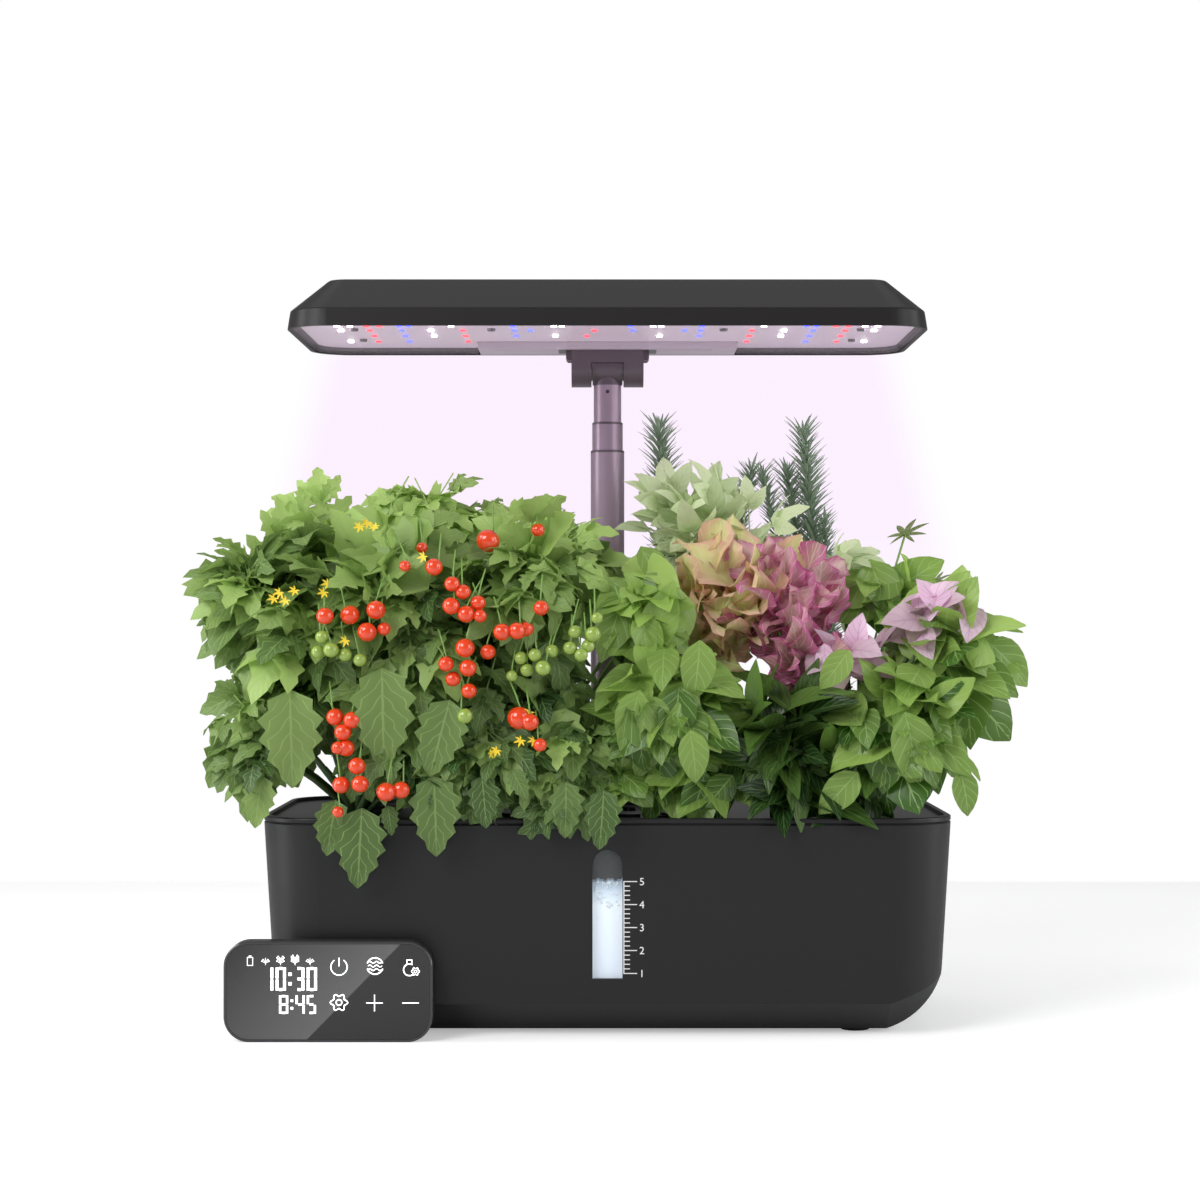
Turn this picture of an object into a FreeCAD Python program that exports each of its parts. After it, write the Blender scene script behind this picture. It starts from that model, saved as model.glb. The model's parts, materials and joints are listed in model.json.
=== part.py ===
"""Countertop hydroponic garden: a water tank under a planting deck with twelve pods, and a grow lamp
that tilts on a three-part telescopic mast.

Units are millimetres. +Z is up, +X is to the right and -Y is towards the person in front of it.
The origin lies on the table, under the middle of the tank.
"""

import FreeCAD, Part

import math
import os

V = FreeCAD.Vector
PARTS = "parts"

# Tank
TANK_HALF_WIDTH = 207.5
TANK_HALF_DEPTH = 98.0
TANK_TOP = 127.0
TANK_CORNER = 37.0
TANK_DRAFT = 0.06
TANK_WALL = 2.6
TANK_FLOOR = 3.0
END_ARC_RADIUS = 49.8
END_ARC_HEIGHT = 47.6
KEEL_HEIGHT = 18.0
KEEL_DEPTH = 22.0
RIM_CHAMFER = 0.8

# Feet
FOOT_RADIUS = 9.0
FOOT_HEIGHT = 2.0
FOOT_SEAT = 1.0
FOOT_X = 150.0
FOOT_Y = 58.0

# Water level window
WINDOW_WIDTH = 17.8
WINDOW_BOTTOM = 35.0
WINDOW_TOP = 112.0
WINDOW_LEDGE = 3.0
SEAL_THICKNESS = 0.8
FIT = 0.2

# Planting deck
LIP_HEIGHT = 3.6
LIP_WIDTH = 4.0
DECK_RECESS = 2.4
DECK_THICKNESS = 3.0
SKIRT_DEPTH = 9.0
SKIRT_WALL = 2.0
SKIRT_GAP = 1.0
LIFT_GAP = 0.3

# Pods
POD_COLUMNS = (-150.0, -50.0, 50.0, 150.0)
POD_ROWS = (-58.0, 0.0, 58.0)
POD_HOLE_RADIUS = 18.0
BASKET_RIM_RADIUS = 21.0
BASKET_RIM = 1.8
BASKET_LENGTH = 46.0
BASKET_FOOT_RADIUS = 12.5
BASKET_WALL = 1.4
BASKET_SLOT_WIDTH = 4.0
BASKET_SLOTS = 4
BASKET_NECK = 17.6
POD_SIDES = 18
STEM_SIDES = 10
STEM_DEPTH = 9.0
SPONGE_DROP = 1.0
SPONGE_GAP = 0.3
SPONGE_LENGTH = 34.0
COLLAR_THICKNESS = 1.6
COLLAR_HOLE_RADIUS = 7.0

# Fill port
FILL_WIDTH = 36.0
FILL_DEPTH = 26.0
FILL_Y = -52.0
FLAP_THICKNESS = 2.2
FLAP_PIN_RADIUS = 1.2
FLAP_BARREL_RADIUS = 2.6

# Mast
MAST_Y = 64.0
LOWER_RADIUS = 11.0
TUBE_WALL = 0.7
TUBE_GAP = 0.3
LOWER_TOP = 359.0
MIDDLE_TOP = 377.4
NECK_HEIGHT = 0.2
MAST_TRAVEL = 70.0
MAST_OVERLAP = 40.0
MIDDLE_EXTRA = 30.0
BUSH_HEIGHT = 12.0
BUSH_LIP = 2.0
RUNNING_FIT = 0.05
COLLAR_RING = 1.6

# Mast base
BASE_WIDTH = 52.0
BASE_DEPTH = 44.0
BASE_Y = 69.0
BASE_SCREW_X = 20.0
BASE_SCREW_Y = 16.0
BASE_HEIGHT = 14.0
BASE_CORNER = 8.0
SOCKET_BOTTOM = 108.0
SOCKET_WALL = 4.0
SCREW_RADIUS = 1.5
SCREW_HEAD_RADIUS = 2.8
SCREW_HEAD = 1.6
SCREW_SIDES = 10
INLET_HEIGHT = 6.5
INLET_RADIUS = 4.0
INLET_BORE = 2.75
INLET_PIN = 1.0
INLET_LENGTH = 11.0
INLET_DEPTH = 9.0

# Lamp
LAMP_HALF_WIDTH = 194.5
LAMP_HALF_DEPTH = 83.0
LAMP_BOTTOM = 424.0
LAMP_RIM = 10.8
LAMP_HEIGHT = 31.0
LAMP_CORNER = 26.0
LAMP_SLOPE = 22.5
LAMP_RIM_DRAFT = 1.7
LAMP_TOP_CORNER = 11.0
LAMP_WALL = 2.4
YOKE_TO_EDGE = 22.0
LAMP_EDGE = 3.0
LAMP_CREASE = 1.5
LENS_THICKNESS = 1.6
LENS_RECESS = 0.5
LENS_GAP = 1.1
LENS_RIM = 1.6
BOARD_GAP = 2.4
BOARD_SCREW_X = 157.0
BOARD_SCREW_MIDDLE_X = 72.0
BOARD_SCREW_ROWS = (0.433, 0.885)
BOARD_SCREW_LENGTH = 7.0
BOARD_SCREW_HEAD_RADIUS = 2.6
BOARD_POST_RADIUS = 3.6
BOARD_THICKNESS = 1.6

# LED chips: rows as shares of the way from the lamp's front edge to the driver strip, then columns as
# distance from the middle, colour and rows. The columns are the same on both sides, the centre chips aren't.
LED_SIZE = 3.4
LED_HEIGHT = 0.9
LED_ROWS = (0.302, 0.492, 0.722, 0.968)
LED_COLUMNS = (
    (166.0, "white", (0, 1, 3)),
    (158.0, "white", (0,)),
    (148.0, "red", (0, 1, 2, 3)),
    (140.0, "red", (0,)),
    (128.0, "blue", (0, 1, 2, 3)),
    (122.0, "blue", (0,)),
    (110.0, "white", (1, 2)),
    (96.0, "white", (0,)),
    (90.0, "red", (1, 2, 3)),
    (58.0, "blue", (0, 1, 2)),
    (48.0, "blue", (1,)),
    (33.0, "white", (0, 2)),
    (28.0, "white", (0,)),
)
LED_CENTRE = ((-13.0, "red", 2), (-8.0, "red", 1), (14.0, "blue", 0), (16.0, "blue", 1))

# Driver strip
STRIP_HALF_WIDTH = 84.0
STRIP_DEPTH = 40.0
STRIP_THICKNESS = 4.5
DRIVER_HALF_WIDTH = 70.0
DRIVER_FORWARD = 12.0
DRIVER_BOARD = 1.6
DRIVER_PARTS = ((-60.0, -38.0, 9.0), (-28.0, -14.0, 7.0), (20.0, 34.0, 5.0))
VENT_LENGTH = 34.0
VENT_WIDTH = 5.0
VENT_X = 51.0
VENT_FORWARD = 12.0
STRIP_HOLE_X = 72.0
STRIP_HOLE_RADIUS = 2.4

# Tilt joint
PIVOT_Z = 412.8
BARREL_RADIUS = 11.0
BARREL_CLEARANCE = 0.5
BARREL_LENGTH = 19.6
EAR_RADIUS = 12.2
EAR_WIDTH = 13.0
WASHER_THICKNESS = 0.6
WASHER_GAP = 0.1
WEB_BOTTOM = 415.8
WING_WIDTH = 3.6
WING_HEIGHT = 6.5
WING_HALF_DEPTH = 9.0
YOKE_PLATE_HALF_WIDTH = 32.0
YOKE_PLATE_THICKNESS = 2.0
YOKE_SCREW_X = (14.0, 28.0)
YOKE_SCREW_BACK = 7.0
YOKE_SKIN = 0.4
PIN_RADIUS = 3.0
PIN_HEAD_RADIUS = 5.5
PIN_HEAD = 1.6
WASHER_RADIUS = 8.0
PLUG_LENGTH = 16.0

# Pump
PUMP_X = 100.0
PUMP_LENGTH = 40.0
PUMP_WIDTH = 30.0
PUMP_HEIGHT = 28.0
CUP_HEIGHT = 4.0
CUP_RADIUS = 6.0
CUP_SIDES = 14
VOLUTE_RADIUS = 12.0
VOLUTE_DEPTH = 9.0
IMPELLER_RADIUS = 9.5
IMPELLER_SHAFT = 1.2
VANES = 5
RISER_RADIUS = 5.0
RISER_HEIGHT = 18.0
PUMP_COVER = 2.0

# Control pad
PAD_WIDTH = 122.7
PAD_HEIGHT = 59.3
PAD_CORNER = 15.0
PAD_FRONT_Y = -108.0
PAD_X = -164.0
PAD_FACE_THICKNESS = 11.0
PAD_BEZEL = 1.6
PAD_GLASS = 1.6
PAD_BAY_HEIGHT = 26.0
PAD_BAY_THICKNESS = 17.0
PAD_BAY_WIDTH = 92.0
PAD_WALL = 1.8
PAD_SEAM = 0.2
DISPLAY_WIDTH = 50.0
DISPLAY_HEIGHT = 36.0
PAD_BOARD_BOTTOM = 14.0
CELL_RADIUS = 5.2
CELL_LENGTH = 42.6

# Plants: pod column, pod row, crown centre offset (x, y), crown half sizes (x, y), crown bottom, crown top
STEM_RADIUS = 3.5
CROWN_RINGS = 6
CROWN_SIDES = 12
TOMATOES = (
    (0, 0, (-38.0, -24.0), (56.0, 38.0), 152.0, 292.0),
    (1, 0, (2.0, -20.0), (40.0, 38.0), 152.0, 300.0),
    (0, 1, (-46.0, 6.0), (48.0, 19.0), 166.0, 318.0),
    (1, 1, (-2.0, 3.0), (43.0, 19.0), 166.0, 322.0),
    (0, 2, (-20.0, 26.0), (72.0, 33.0), 152.0, 336.0),
)
BASILS = (
    (2, 0, (0.0, -20.0), (41.0, 38.0), 152.0, 276.0),
    (3, 0, (42.0, -22.0), (52.0, 38.0), 152.0, 262.0),
)
LETTUCES = (
    (2, 1, (4.0, 3.0), (44.0, 19.0), 166.0, 294.0),
    (3, 1, (44.0, 5.0), (50.0, 19.0), 166.0, 280.0),
)
ROSEMARIES = (
    (2, 2, (-4.0, 2.0), (18.0, 22.0), 160.0, 362.0),
    (3, 2, (-8.0, 4.0), (34.0, 26.0), 160.0, 358.0),
)
SAGES = ((1, 2, (-6.0, 18.0), (27.0, 26.0), 152.0, 312.0),)

# Places that follow from the sizes above
MIDDLE_RADIUS = LOWER_RADIUS - TUBE_WALL - TUBE_GAP
UPPER_RADIUS = MIDDLE_RADIUS - TUBE_WALL - TUBE_GAP
UPPER_TOP = PIVOT_Z - BARREL_RADIUS - NECK_HEIGHT
EAR_INNER = BARREL_LENGTH / 2 + WASHER_GAP + WASHER_THICKNESS
EAR_OUTER = EAR_INNER + EAR_WIDTH
WING_OUTER = EAR_OUTER + WING_WIDTH
LAMP_BACK = MAST_Y + YOKE_TO_EDGE
LAMP_Y = LAMP_BACK - LAMP_HALF_DEPTH
LAMP_FRONT = LAMP_Y - LAMP_HALF_DEPTH
STRIP_FRONT = LAMP_BACK - STRIP_DEPTH
STRIP_TOP = LAMP_BOTTOM + STRIP_THICKNESS
FLOOR_Z = FOOT_HEIGHT
INNER_FLOOR = FLOOR_Z + TANK_FLOOR
DECK_TOP = TANK_TOP + LIP_HEIGHT - DECK_RECESS
DECK_UNDER = DECK_TOP - DECK_THICKNESS
LIP_TOP = TANK_TOP + LIP_HEIGHT
BASE_TOP = DECK_TOP + BASE_HEIGHT
LENS_BOTTOM = LAMP_BOTTOM + LENS_RECESS
LENS_TOP = LENS_BOTTOM + LENS_THICKNESS
BOARD_BOTTOM = LENS_TOP + BOARD_GAP
LAMP_TOP = LAMP_BOTTOM + LAMP_HEIGHT
UP, RIGHT, BACK = V(0, 0, 1), V(1, 0, 0), V(0, 1, 0)
DOWN, LEFT = V(0, 0, -1), V(-1, 0, 0)


def save(name, solids):
    """Writes one node from one solid or a group of separate solids."""
    group = solids if isinstance(solids, (list, tuple)) else [solids]
    clean = []
    for shape in group:
        shape = shape.removeSplitter()
        if not shape.isValid():
            raise ValueError(f"{name} is not valid")
        clean.extend(shape.Solids)
    Part.makeCompound(clean).exportStep(os.path.join(PARTS, name + ".step"))


def box(x0, x1, y0, y1, z0, z1):
    return Part.makeBox(x1 - x0, y1 - y0, z1 - z0, V(x0, y0, z0))


def rod(radius, start, direction, length):
    return Part.makeCylinder(radius, length, start, direction)


def rounded_wire(half_x, half_y, radius, z, x=0.0, y=0.0):
    """A rounded rectangle in a level plane, anticlockwise from above."""
    diagonal = radius * (1 - math.sqrt(0.5))
    corners = ((1, -1), (1, 1), (-1, 1), (-1, -1))
    edges = []
    last = None
    first = None
    for sx, sy in corners:
        along_y = V(x + sx * half_x, y + sy * (half_y - radius), z)
        along_x = V(x + sx * (half_x - radius), y + sy * half_y, z)
        middle = V(x + sx * (half_x - diagonal), y + sy * (half_y - diagonal), z)
        start, end = (along_x, along_y) if sx * sy < 0 else (along_y, along_x)
        if last is not None:
            edges.append(Part.LineSegment(last, start).toShape())
        else:
            first = start
        edges.append(Part.Arc(start, middle, end).toShape())
        last = end
    edges.append(Part.LineSegment(last, first).toShape())
    return Part.Wire(edges)


def rounded_block(half_x, half_y, radius, z0, z1, x=0.0, y=0.0):
    wire = rounded_wire(half_x, half_y, radius, z0, x, y)
    return Part.Face(wire).extrude(V(0, 0, z1 - z0))


def lofted(wires):
    return Part.makeLoft(wires, True, True)


def faceted(rings, sides, x=0.0, y=0.0, stretch=(1.0, 1.0)):
    """A closed solid with flat faces, from (radius, height) rings about a vertical axis."""
    turns = [math.tau * k / sides for k in range(sides)]
    corners = [
        [V(x + r * stretch[0] * math.cos(turn), y + r * stretch[1] * math.sin(turn), z) for turn in turns]
        for r, z in rings
    ]
    faces = [Part.Face(Part.makePolygon(ring + ring[:1])) for ring in (corners[0], corners[-1])]
    for low, high in zip(corners, corners[1:]):
        for k in range(sides):
            after = (k + 1) % sides
            faces.append(Part.Face(Part.makePolygon([low[k], low[after], high[after], high[k], low[k]])))
    solid = Part.Solid(Part.Shell(faces))
    return solid if solid.Volume > 0 else solid.reversed()


def level_edges(shape, z, tolerance=0.01):
    """Edges that lie in one level plane."""
    return [e for e in shape.Edges if abs(e.BoundBox.ZMin - z) < tolerance and abs(e.BoundBox.ZMax - z) < tolerance]


# Tank

def wall_inset(z):
    """How far the tank's drafted wall stands in from its rim at a height."""
    return TANK_DRAFT * (TANK_TOP - z)


def tank_walls(inset, z0, z1):
    wires = []
    for z in (z0, z1):
        step = wall_inset(z) + inset
        wires.append(rounded_wire(TANK_HALF_WIDTH - step, TANK_HALF_DEPTH - step, TANK_CORNER - step, z))
    return lofted(wires)


def keel_profile(y, rise, inset, floor):
    """The tank's underside seen from the front: a flat floor that turns up in an arc at each end."""
    radius = END_ARC_RADIUS - inset
    side = TANK_HALF_WIDTH - wall_inset(FLOOR_Z + END_ARC_HEIGHT) - inset + FIT
    centre_x = side - radius
    centre_z = FLOOR_Z + END_ARC_HEIGHT + rise
    z = floor + rise
    drop = centre_z - z
    half_floor = centre_x + math.sqrt(radius ** 2 - drop ** 2)
    middle_angle = 0.5 * math.asin(drop / radius)
    middle_x = centre_x + radius * math.cos(middle_angle)
    middle_z = centre_z - radius * math.sin(middle_angle)
    top = TANK_TOP + 20.0
    wide = TANK_HALF_WIDTH + 2.0
    right = [
        Part.Arc(V(half_floor, y, z), V(middle_x, y, middle_z), V(side, y, centre_z)).toShape(),
        Part.LineSegment(V(side, y, centre_z), V(wide, y, top)).toShape(),
    ]
    left = [
        Part.LineSegment(V(-wide, y, top), V(-side, y, centre_z)).toShape(),
        Part.Arc(V(-side, y, centre_z), V(-middle_x, y, middle_z), V(-half_floor, y, z)).toShape(),
    ]
    roof = [Part.LineSegment(V(wide, y, top), V(-wide, y, top)).toShape()]
    base = [Part.LineSegment(V(-half_floor, y, z), V(half_floor, y, z)).toShape()]
    return Part.Wire(right + roof + left + base)


def keel(inset, floor):
    """The space above the underside: it rises towards the front and back faces to make the bevel."""
    start = TANK_HALF_DEPTH - wall_inset(FLOOR_Z + KEEL_HEIGHT) - inset
    flat = start - KEEL_DEPTH
    reach = TANK_HALF_DEPTH + 2.0
    rise = KEEL_HEIGHT * (reach - flat) / KEEL_DEPTH
    stations = ((-reach, rise), (-flat, 0.0), (flat, 0.0), (reach, rise))
    return lofted([keel_profile(y, lift, inset, floor) for y, lift in stations])


def window_slot(margin, y0, y1, bottom=WINDOW_BOTTOM, top=WINDOW_TOP):
    """An upright slot with a round top, cut through the front wall."""
    half = WINDOW_WIDTH / 2 + margin
    shoulder = top - WINDOW_WIDTH / 2
    low = bottom - margin
    edges = [
        Part.LineSegment(V(-half, y0, low), V(half, y0, low)).toShape(),
        Part.LineSegment(V(half, y0, low), V(half, y0, shoulder)).toShape(),
        Part.Arc(V(half, y0, shoulder), V(0, y0, shoulder + half), V(-half, y0, shoulder)).toShape(),
        Part.LineSegment(V(-half, y0, shoulder), V(-half, y0, low)).toShape(),
    ]
    return Part.Face(Part.Wire(edges)).extrude(V(0, y1 - y0, 0))


def front_skin(outer_inset, inner_inset):
    """The slab between two offsets of the front wall."""
    outer = tank_walls(outer_inset, FLOOR_Z, TANK_TOP)
    inner = tank_walls(inner_inset, FLOOR_Z - 1.0, TANK_TOP + 1.0)
    return outer.cut(inner).common(box(-60, 60, -TANK_HALF_DEPTH - 1, -60, 0, TANK_TOP))


def tank_shell():
    body = tank_walls(0.0, FLOOR_Z, TANK_TOP).common(keel(0.0, FLOOR_Z))
    rim = [e for e in level_edges(body, TANK_TOP)]
    body = body.makeChamfer(RIM_CHAMFER, rim)
    hollow = tank_walls(TANK_WALL, FLOOR_Z, TANK_TOP + 5.0).common(keel(TANK_WALL, INNER_FLOOR))
    body = body.cut(hollow)
    for x, y in foot_places():
        body = body.cut(rod(FOOT_RADIUS - 2.0 + FIT, V(x, y, FLOOR_Z - 1.0), UP, 1.0 + FOOT_SEAT))
    ledge = front_skin(TANK_WALL - 0.5, TANK_WALL + 2.2).common(window_slot(WINDOW_LEDGE + 2.0, -120, -60))
    body = body.fuse(ledge)
    body = body.cut(window_slot(0.0, -120, -60))
    pocket = front_skin(TANK_WALL, TANK_WALL + 10.0).common(window_slot(WINDOW_LEDGE, -120, -60))
    return body.cut(pocket)


def level_window():
    """The clear pane: a raised centre that fills the slot, and a flange behind the wall."""
    centre = front_skin(0.3, TANK_WALL + SEAL_THICKNESS + 1.4).common(window_slot(-FIT, -120, -60))
    flange = front_skin(TANK_WALL + SEAL_THICKNESS, TANK_WALL + SEAL_THICKNESS + 1.4)
    return centre.fuse(flange.common(window_slot(WINDOW_LEDGE - FIT, -120, -60)))


def window_seal():
    ring = front_skin(TANK_WALL, TANK_WALL + SEAL_THICKNESS).common(window_slot(WINDOW_LEDGE - FIT, -120, -60))
    return ring.cut(window_slot(0.0, -120, -60))


def foot_places():
    return [(sx * FOOT_X, sy * FOOT_Y) for sx in (-1, 1) for sy in (-1, 1)]


def feet():
    made = []
    for x, y in foot_places():
        pad = rod(FOOT_RADIUS, V(x, y, 0), UP, FOOT_HEIGHT)
        pad = pad.makeChamfer(0.6, level_edges(pad, 0.0))
        made.append(pad.fuse(rod(FOOT_RADIUS - 2.0, V(x, y, FOOT_HEIGHT - 0.5), UP, 0.5 + FOOT_SEAT)))
    return made


# Pump on the tank floor

def pump_frame():
    return INNER_FLOOR + CUP_HEIGHT, -PUMP_WIDTH / 2, PUMP_WIDTH / 2


def pump_axis_z():
    return INNER_FLOOR + CUP_HEIGHT + PUMP_HEIGHT / 2


def pump_housing():
    z0, y0, y1 = pump_frame()
    body = box(PUMP_X - PUMP_LENGTH / 2, PUMP_X + PUMP_LENGTH / 2, y0, y1, z0, z0 + PUMP_HEIGHT)
    upright = [e for e in body.Edges if e.BoundBox.ZLength > PUMP_HEIGHT - 1]
    body = body.makeFillet(5.0, upright)
    face = PUMP_X - PUMP_LENGTH / 2
    z = pump_axis_z()
    body = body.cut(rod(VOLUTE_RADIUS, V(face, 0, z), RIGHT, VOLUTE_DEPTH))
    body = body.cut(rod(IMPELLER_SHAFT + RUNNING_FIT, V(face, 0, z), RIGHT, VOLUTE_DEPTH + 12.0))
    outlet_x = face + VOLUTE_DEPTH / 2
    body = body.cut(rod(2.4, V(outlet_x, 0, z + VOLUTE_RADIUS - 2.0), UP, PUMP_HEIGHT))
    rim = z0 + PUMP_HEIGHT
    return body.fuse(
        rod(4.2, V(outlet_x, 0, rim), UP, 6.0).cut(rod(2.4, V(outlet_x, 0, rim - 1), UP, 8.0))
    )


def pump_riser():
    z0 = INNER_FLOOR + CUP_HEIGHT + PUMP_HEIGHT
    x = PUMP_X - PUMP_LENGTH / 2 + VOLUTE_DEPTH / 2
    tube = rod(RISER_RADIUS + 0.6, V(x, 0, z0), UP, RISER_HEIGHT)
    return tube.cut(rod(4.2 + 0.02, V(x, 0, z0), UP, RISER_HEIGHT))


def pump_cover():
    face = PUMP_X - PUMP_LENGTH / 2
    z0, y0, y1 = pump_frame()
    plate = box(face - PUMP_COVER, face, y0 + 5.0, y1 - 5.0, z0 + 1.0, z0 + PUMP_HEIGHT - 1.0)
    slots = [box(face - 9, face + 1, -8.0, 8.0, pump_axis_z() + k * 4.0 - 1.1, pump_axis_z() + k * 4.0 + 1.1)
             for k in (-2, -1, 1, 2)]
    return plate.cut(Part.makeCompound(slots))


def pump_impeller():
    face = PUMP_X - PUMP_LENGTH / 2
    z = pump_axis_z()
    start = face + 1.2
    hub = rod(3.2, V(start, 0, z), RIGHT, VOLUTE_DEPTH - 2.4)
    disc = rod(IMPELLER_RADIUS, V(start + VOLUTE_DEPTH - 4.0, 0, z), RIGHT, 1.6)
    shaft = rod(IMPELLER_SHAFT, V(start, 0, z), RIGHT, VOLUTE_DEPTH + 9.0)
    wheel = hub.fuse(disc).fuse(shaft)
    for k in range(VANES):
        vane = box(start + 0.6, start + VOLUTE_DEPTH - 3.8, -0.6, 0.6, z + 2.6, z + IMPELLER_RADIUS - 0.4)
        vane.rotate(V(start, 0, z), RIGHT, 360.0 * k / VANES)
        wheel = wheel.fuse(vane)
    return wheel


def suction_cups():
    made = []
    for sx in (-1, 1):
        for sy in (-1, 1):
            x = PUMP_X + sx * (PUMP_LENGTH / 2 - 8.0)
            y = sy * (PUMP_WIDTH / 2 - 7.0)
            z = INNER_FLOOR
            made.append(faceted([(CUP_RADIUS, z), (CUP_RADIUS, z + 0.8), (2.4, z + CUP_HEIGHT - 1.0),
                                 (2.4, z + CUP_HEIGHT)], CUP_SIDES, x, y))
    return made


# Planting deck

def pod_places():
    return [(x, y) for y in POD_ROWS for x in POD_COLUMNS]


def base_screw_places():
    return [(sx * BASE_SCREW_X, BASE_Y + sy * BASE_SCREW_Y) for sx in (-1, 1) for sy in (-1, 1)]


def flap_axis():
    """The fill flap's hinge line, behind the port."""
    return FILL_Y + FILL_DEPTH / 2 + FLAP_BARREL_RADIUS + 0.6, DECK_TOP + FLAP_BARREL_RADIUS + 0.2


def planting_deck():
    lip = rounded_block(TANK_HALF_WIDTH, TANK_HALF_DEPTH, TANK_CORNER, TANK_TOP, LIP_TOP)
    lip = lip.makeFillet(1.2, level_edges(lip, LIP_TOP))
    lip = lip.makeChamfer(RIM_CHAMFER, level_edges(lip, TANK_TOP))
    well = rounded_block(TANK_HALF_WIDTH - LIP_WIDTH, TANK_HALF_DEPTH - LIP_WIDTH, TANK_CORNER - LIP_WIDTH,
                         DECK_TOP, LIP_TOP + 1)
    inset = TANK_WALL + wall_inset(TANK_TOP - SKIRT_DEPTH) + SKIRT_GAP
    skirt = rounded_block(TANK_HALF_WIDTH - inset, TANK_HALF_DEPTH - inset, TANK_CORNER - inset,
                          TANK_TOP - SKIRT_DEPTH, TANK_TOP)
    inset += SKIRT_WALL
    under = rounded_block(TANK_HALF_WIDTH - inset, TANK_HALF_DEPTH - inset, TANK_CORNER - inset,
                          TANK_TOP - SKIRT_DEPTH - 1, DECK_UNDER)
    deck = lip.fuse(skirt).cut(well).cut(under)
    socket = rod(LOWER_RADIUS + SOCKET_WALL, V(0, MAST_Y, SOCKET_BOTTOM - 3.0), UP, DECK_UNDER - SOCKET_BOTTOM + 3.5)
    deck = deck.fuse(socket)
    deck = deck.cut(rod(LOWER_RADIUS + RUNNING_FIT, V(0, MAST_Y, SOCKET_BOTTOM), UP, BASE_TOP - SOCKET_BOTTOM))
    holes = [rod(POD_HOLE_RADIUS, V(x, y, DECK_UNDER - 1), UP, 10.0) for x, y in pod_places()]
    holes += [rod(SCREW_RADIUS, V(x, y, DECK_TOP - 2.0), UP, 5.0) for x, y in base_screw_places()]
    holes.append(box(-FILL_WIDTH / 2, FILL_WIDTH / 2, FILL_Y - FILL_DEPTH / 2, FILL_Y + FILL_DEPTH / 2,
                     DECK_UNDER - 1, DECK_TOP + 1))
    deck = deck.cut(Part.makeCompound(holes))
    hinge_y, hinge_z = flap_axis()
    for side in (-1, 1):
        x = side * (FILL_WIDTH / 2 - 3.0)
        lug = box(x - 2.0, x + 2.0, hinge_y - 2.2, hinge_y + 2.2, DECK_TOP - 0.5, hinge_z)
        lug = lug.fuse(rod(2.2, V(x - 2.0, hinge_y, hinge_z), RIGHT, 4.0))
        deck = deck.fuse(lug).cut(rod(FLAP_PIN_RADIUS + FIT / 4, V(x - 3.0, hinge_y, hinge_z), RIGHT, 6.0))
    return deck


def fill_flap():
    hinge_y, hinge_z = flap_axis()
    z0 = DECK_TOP + LIFT_GAP
    plate = box(-FILL_WIDTH / 2 - 2.0, FILL_WIDTH / 2 + 2.0, FILL_Y - FILL_DEPTH / 2 - 2.0,
                FILL_Y + FILL_DEPTH / 2 - 0.5, z0, z0 + FLAP_THICKNESS)
    front = [e for e in plate.Edges if e.BoundBox.ZLength > 1 and e.BoundBox.YMax < FILL_Y]
    plate = plate.makeFillet(4.0, front)
    pull = box(-8.0, 8.0, FILL_Y - FILL_DEPTH / 2 - 1.0, FILL_Y - FILL_DEPTH / 2 + 1.5, z0 + FLAP_THICKNESS - 0.2,
               z0 + FLAP_THICKNESS + 1.6)
    half = FILL_WIDTH / 2 - 3.0 - 2.0 - LIFT_GAP
    arm = box(-half, half, FILL_Y + FILL_DEPTH / 2 - 1.0, hinge_y, z0, z0 + FLAP_THICKNESS)
    barrel = rod(2.4, V(-half, hinge_y, hinge_z), RIGHT, 2 * half)
    return plate.fuse(pull).fuse(arm).fuse(barrel)


def flap_pins():
    """Two stub pins, pressed into the deck's lugs and running in the flap's barrel ends."""
    hinge_y, hinge_z = flap_axis()
    made = []
    for side in (-1, 1):
        x = side * (FILL_WIDTH / 2 - 3.0)
        start = x - 2.0 if side > 0 else x + 2.0
        made.append(rod(FLAP_PIN_RADIUS, V(start - side * LIFT_GAP * 0.5, hinge_y, hinge_z), V(side, 0, 0), 4.6))
    return made


def basket_reach(z, inset=0.0):
    """The basket's radius at a height, less an inset."""
    slope = (BASKET_NECK - BASKET_FOOT_RADIUS) / BASKET_LENGTH
    return BASKET_NECK - slope * (DECK_TOP - z) - inset


def one_basket():
    """A tapered net cup that hangs by its rim in the deck."""
    bottom = DECK_TOP - BASKET_LENGTH
    rim = DECK_TOP + BASKET_RIM
    cup = faceted([(basket_reach(bottom), bottom), (basket_reach(DECK_TOP), DECK_TOP)], POD_SIDES)
    cup = cup.fuse(faceted([(BASKET_RIM_RADIUS, DECK_TOP), (BASKET_RIM_RADIUS, rim)], POD_SIDES))
    floor = bottom + BASKET_WALL
    hollow = [(basket_reach(floor, BASKET_WALL), floor), (basket_reach(DECK_TOP, BASKET_WALL), DECK_TOP),
              (basket_reach(DECK_TOP, BASKET_WALL), rim + 1)]
    cup = cup.cut(faceted(hollow, POD_SIDES))
    half = BASKET_SLOT_WIDTH / 2
    for k in range(BASKET_SLOTS // 2):
        slot = box(-30, 30, -half, half, bottom + 6.0, DECK_TOP - 8.0)
        slot.rotate(V(0, 0, 0), UP, 90.0 + 180.0 * k / (BASKET_SLOTS // 2))
        cup = cup.cut(slot)
    return cup


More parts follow.
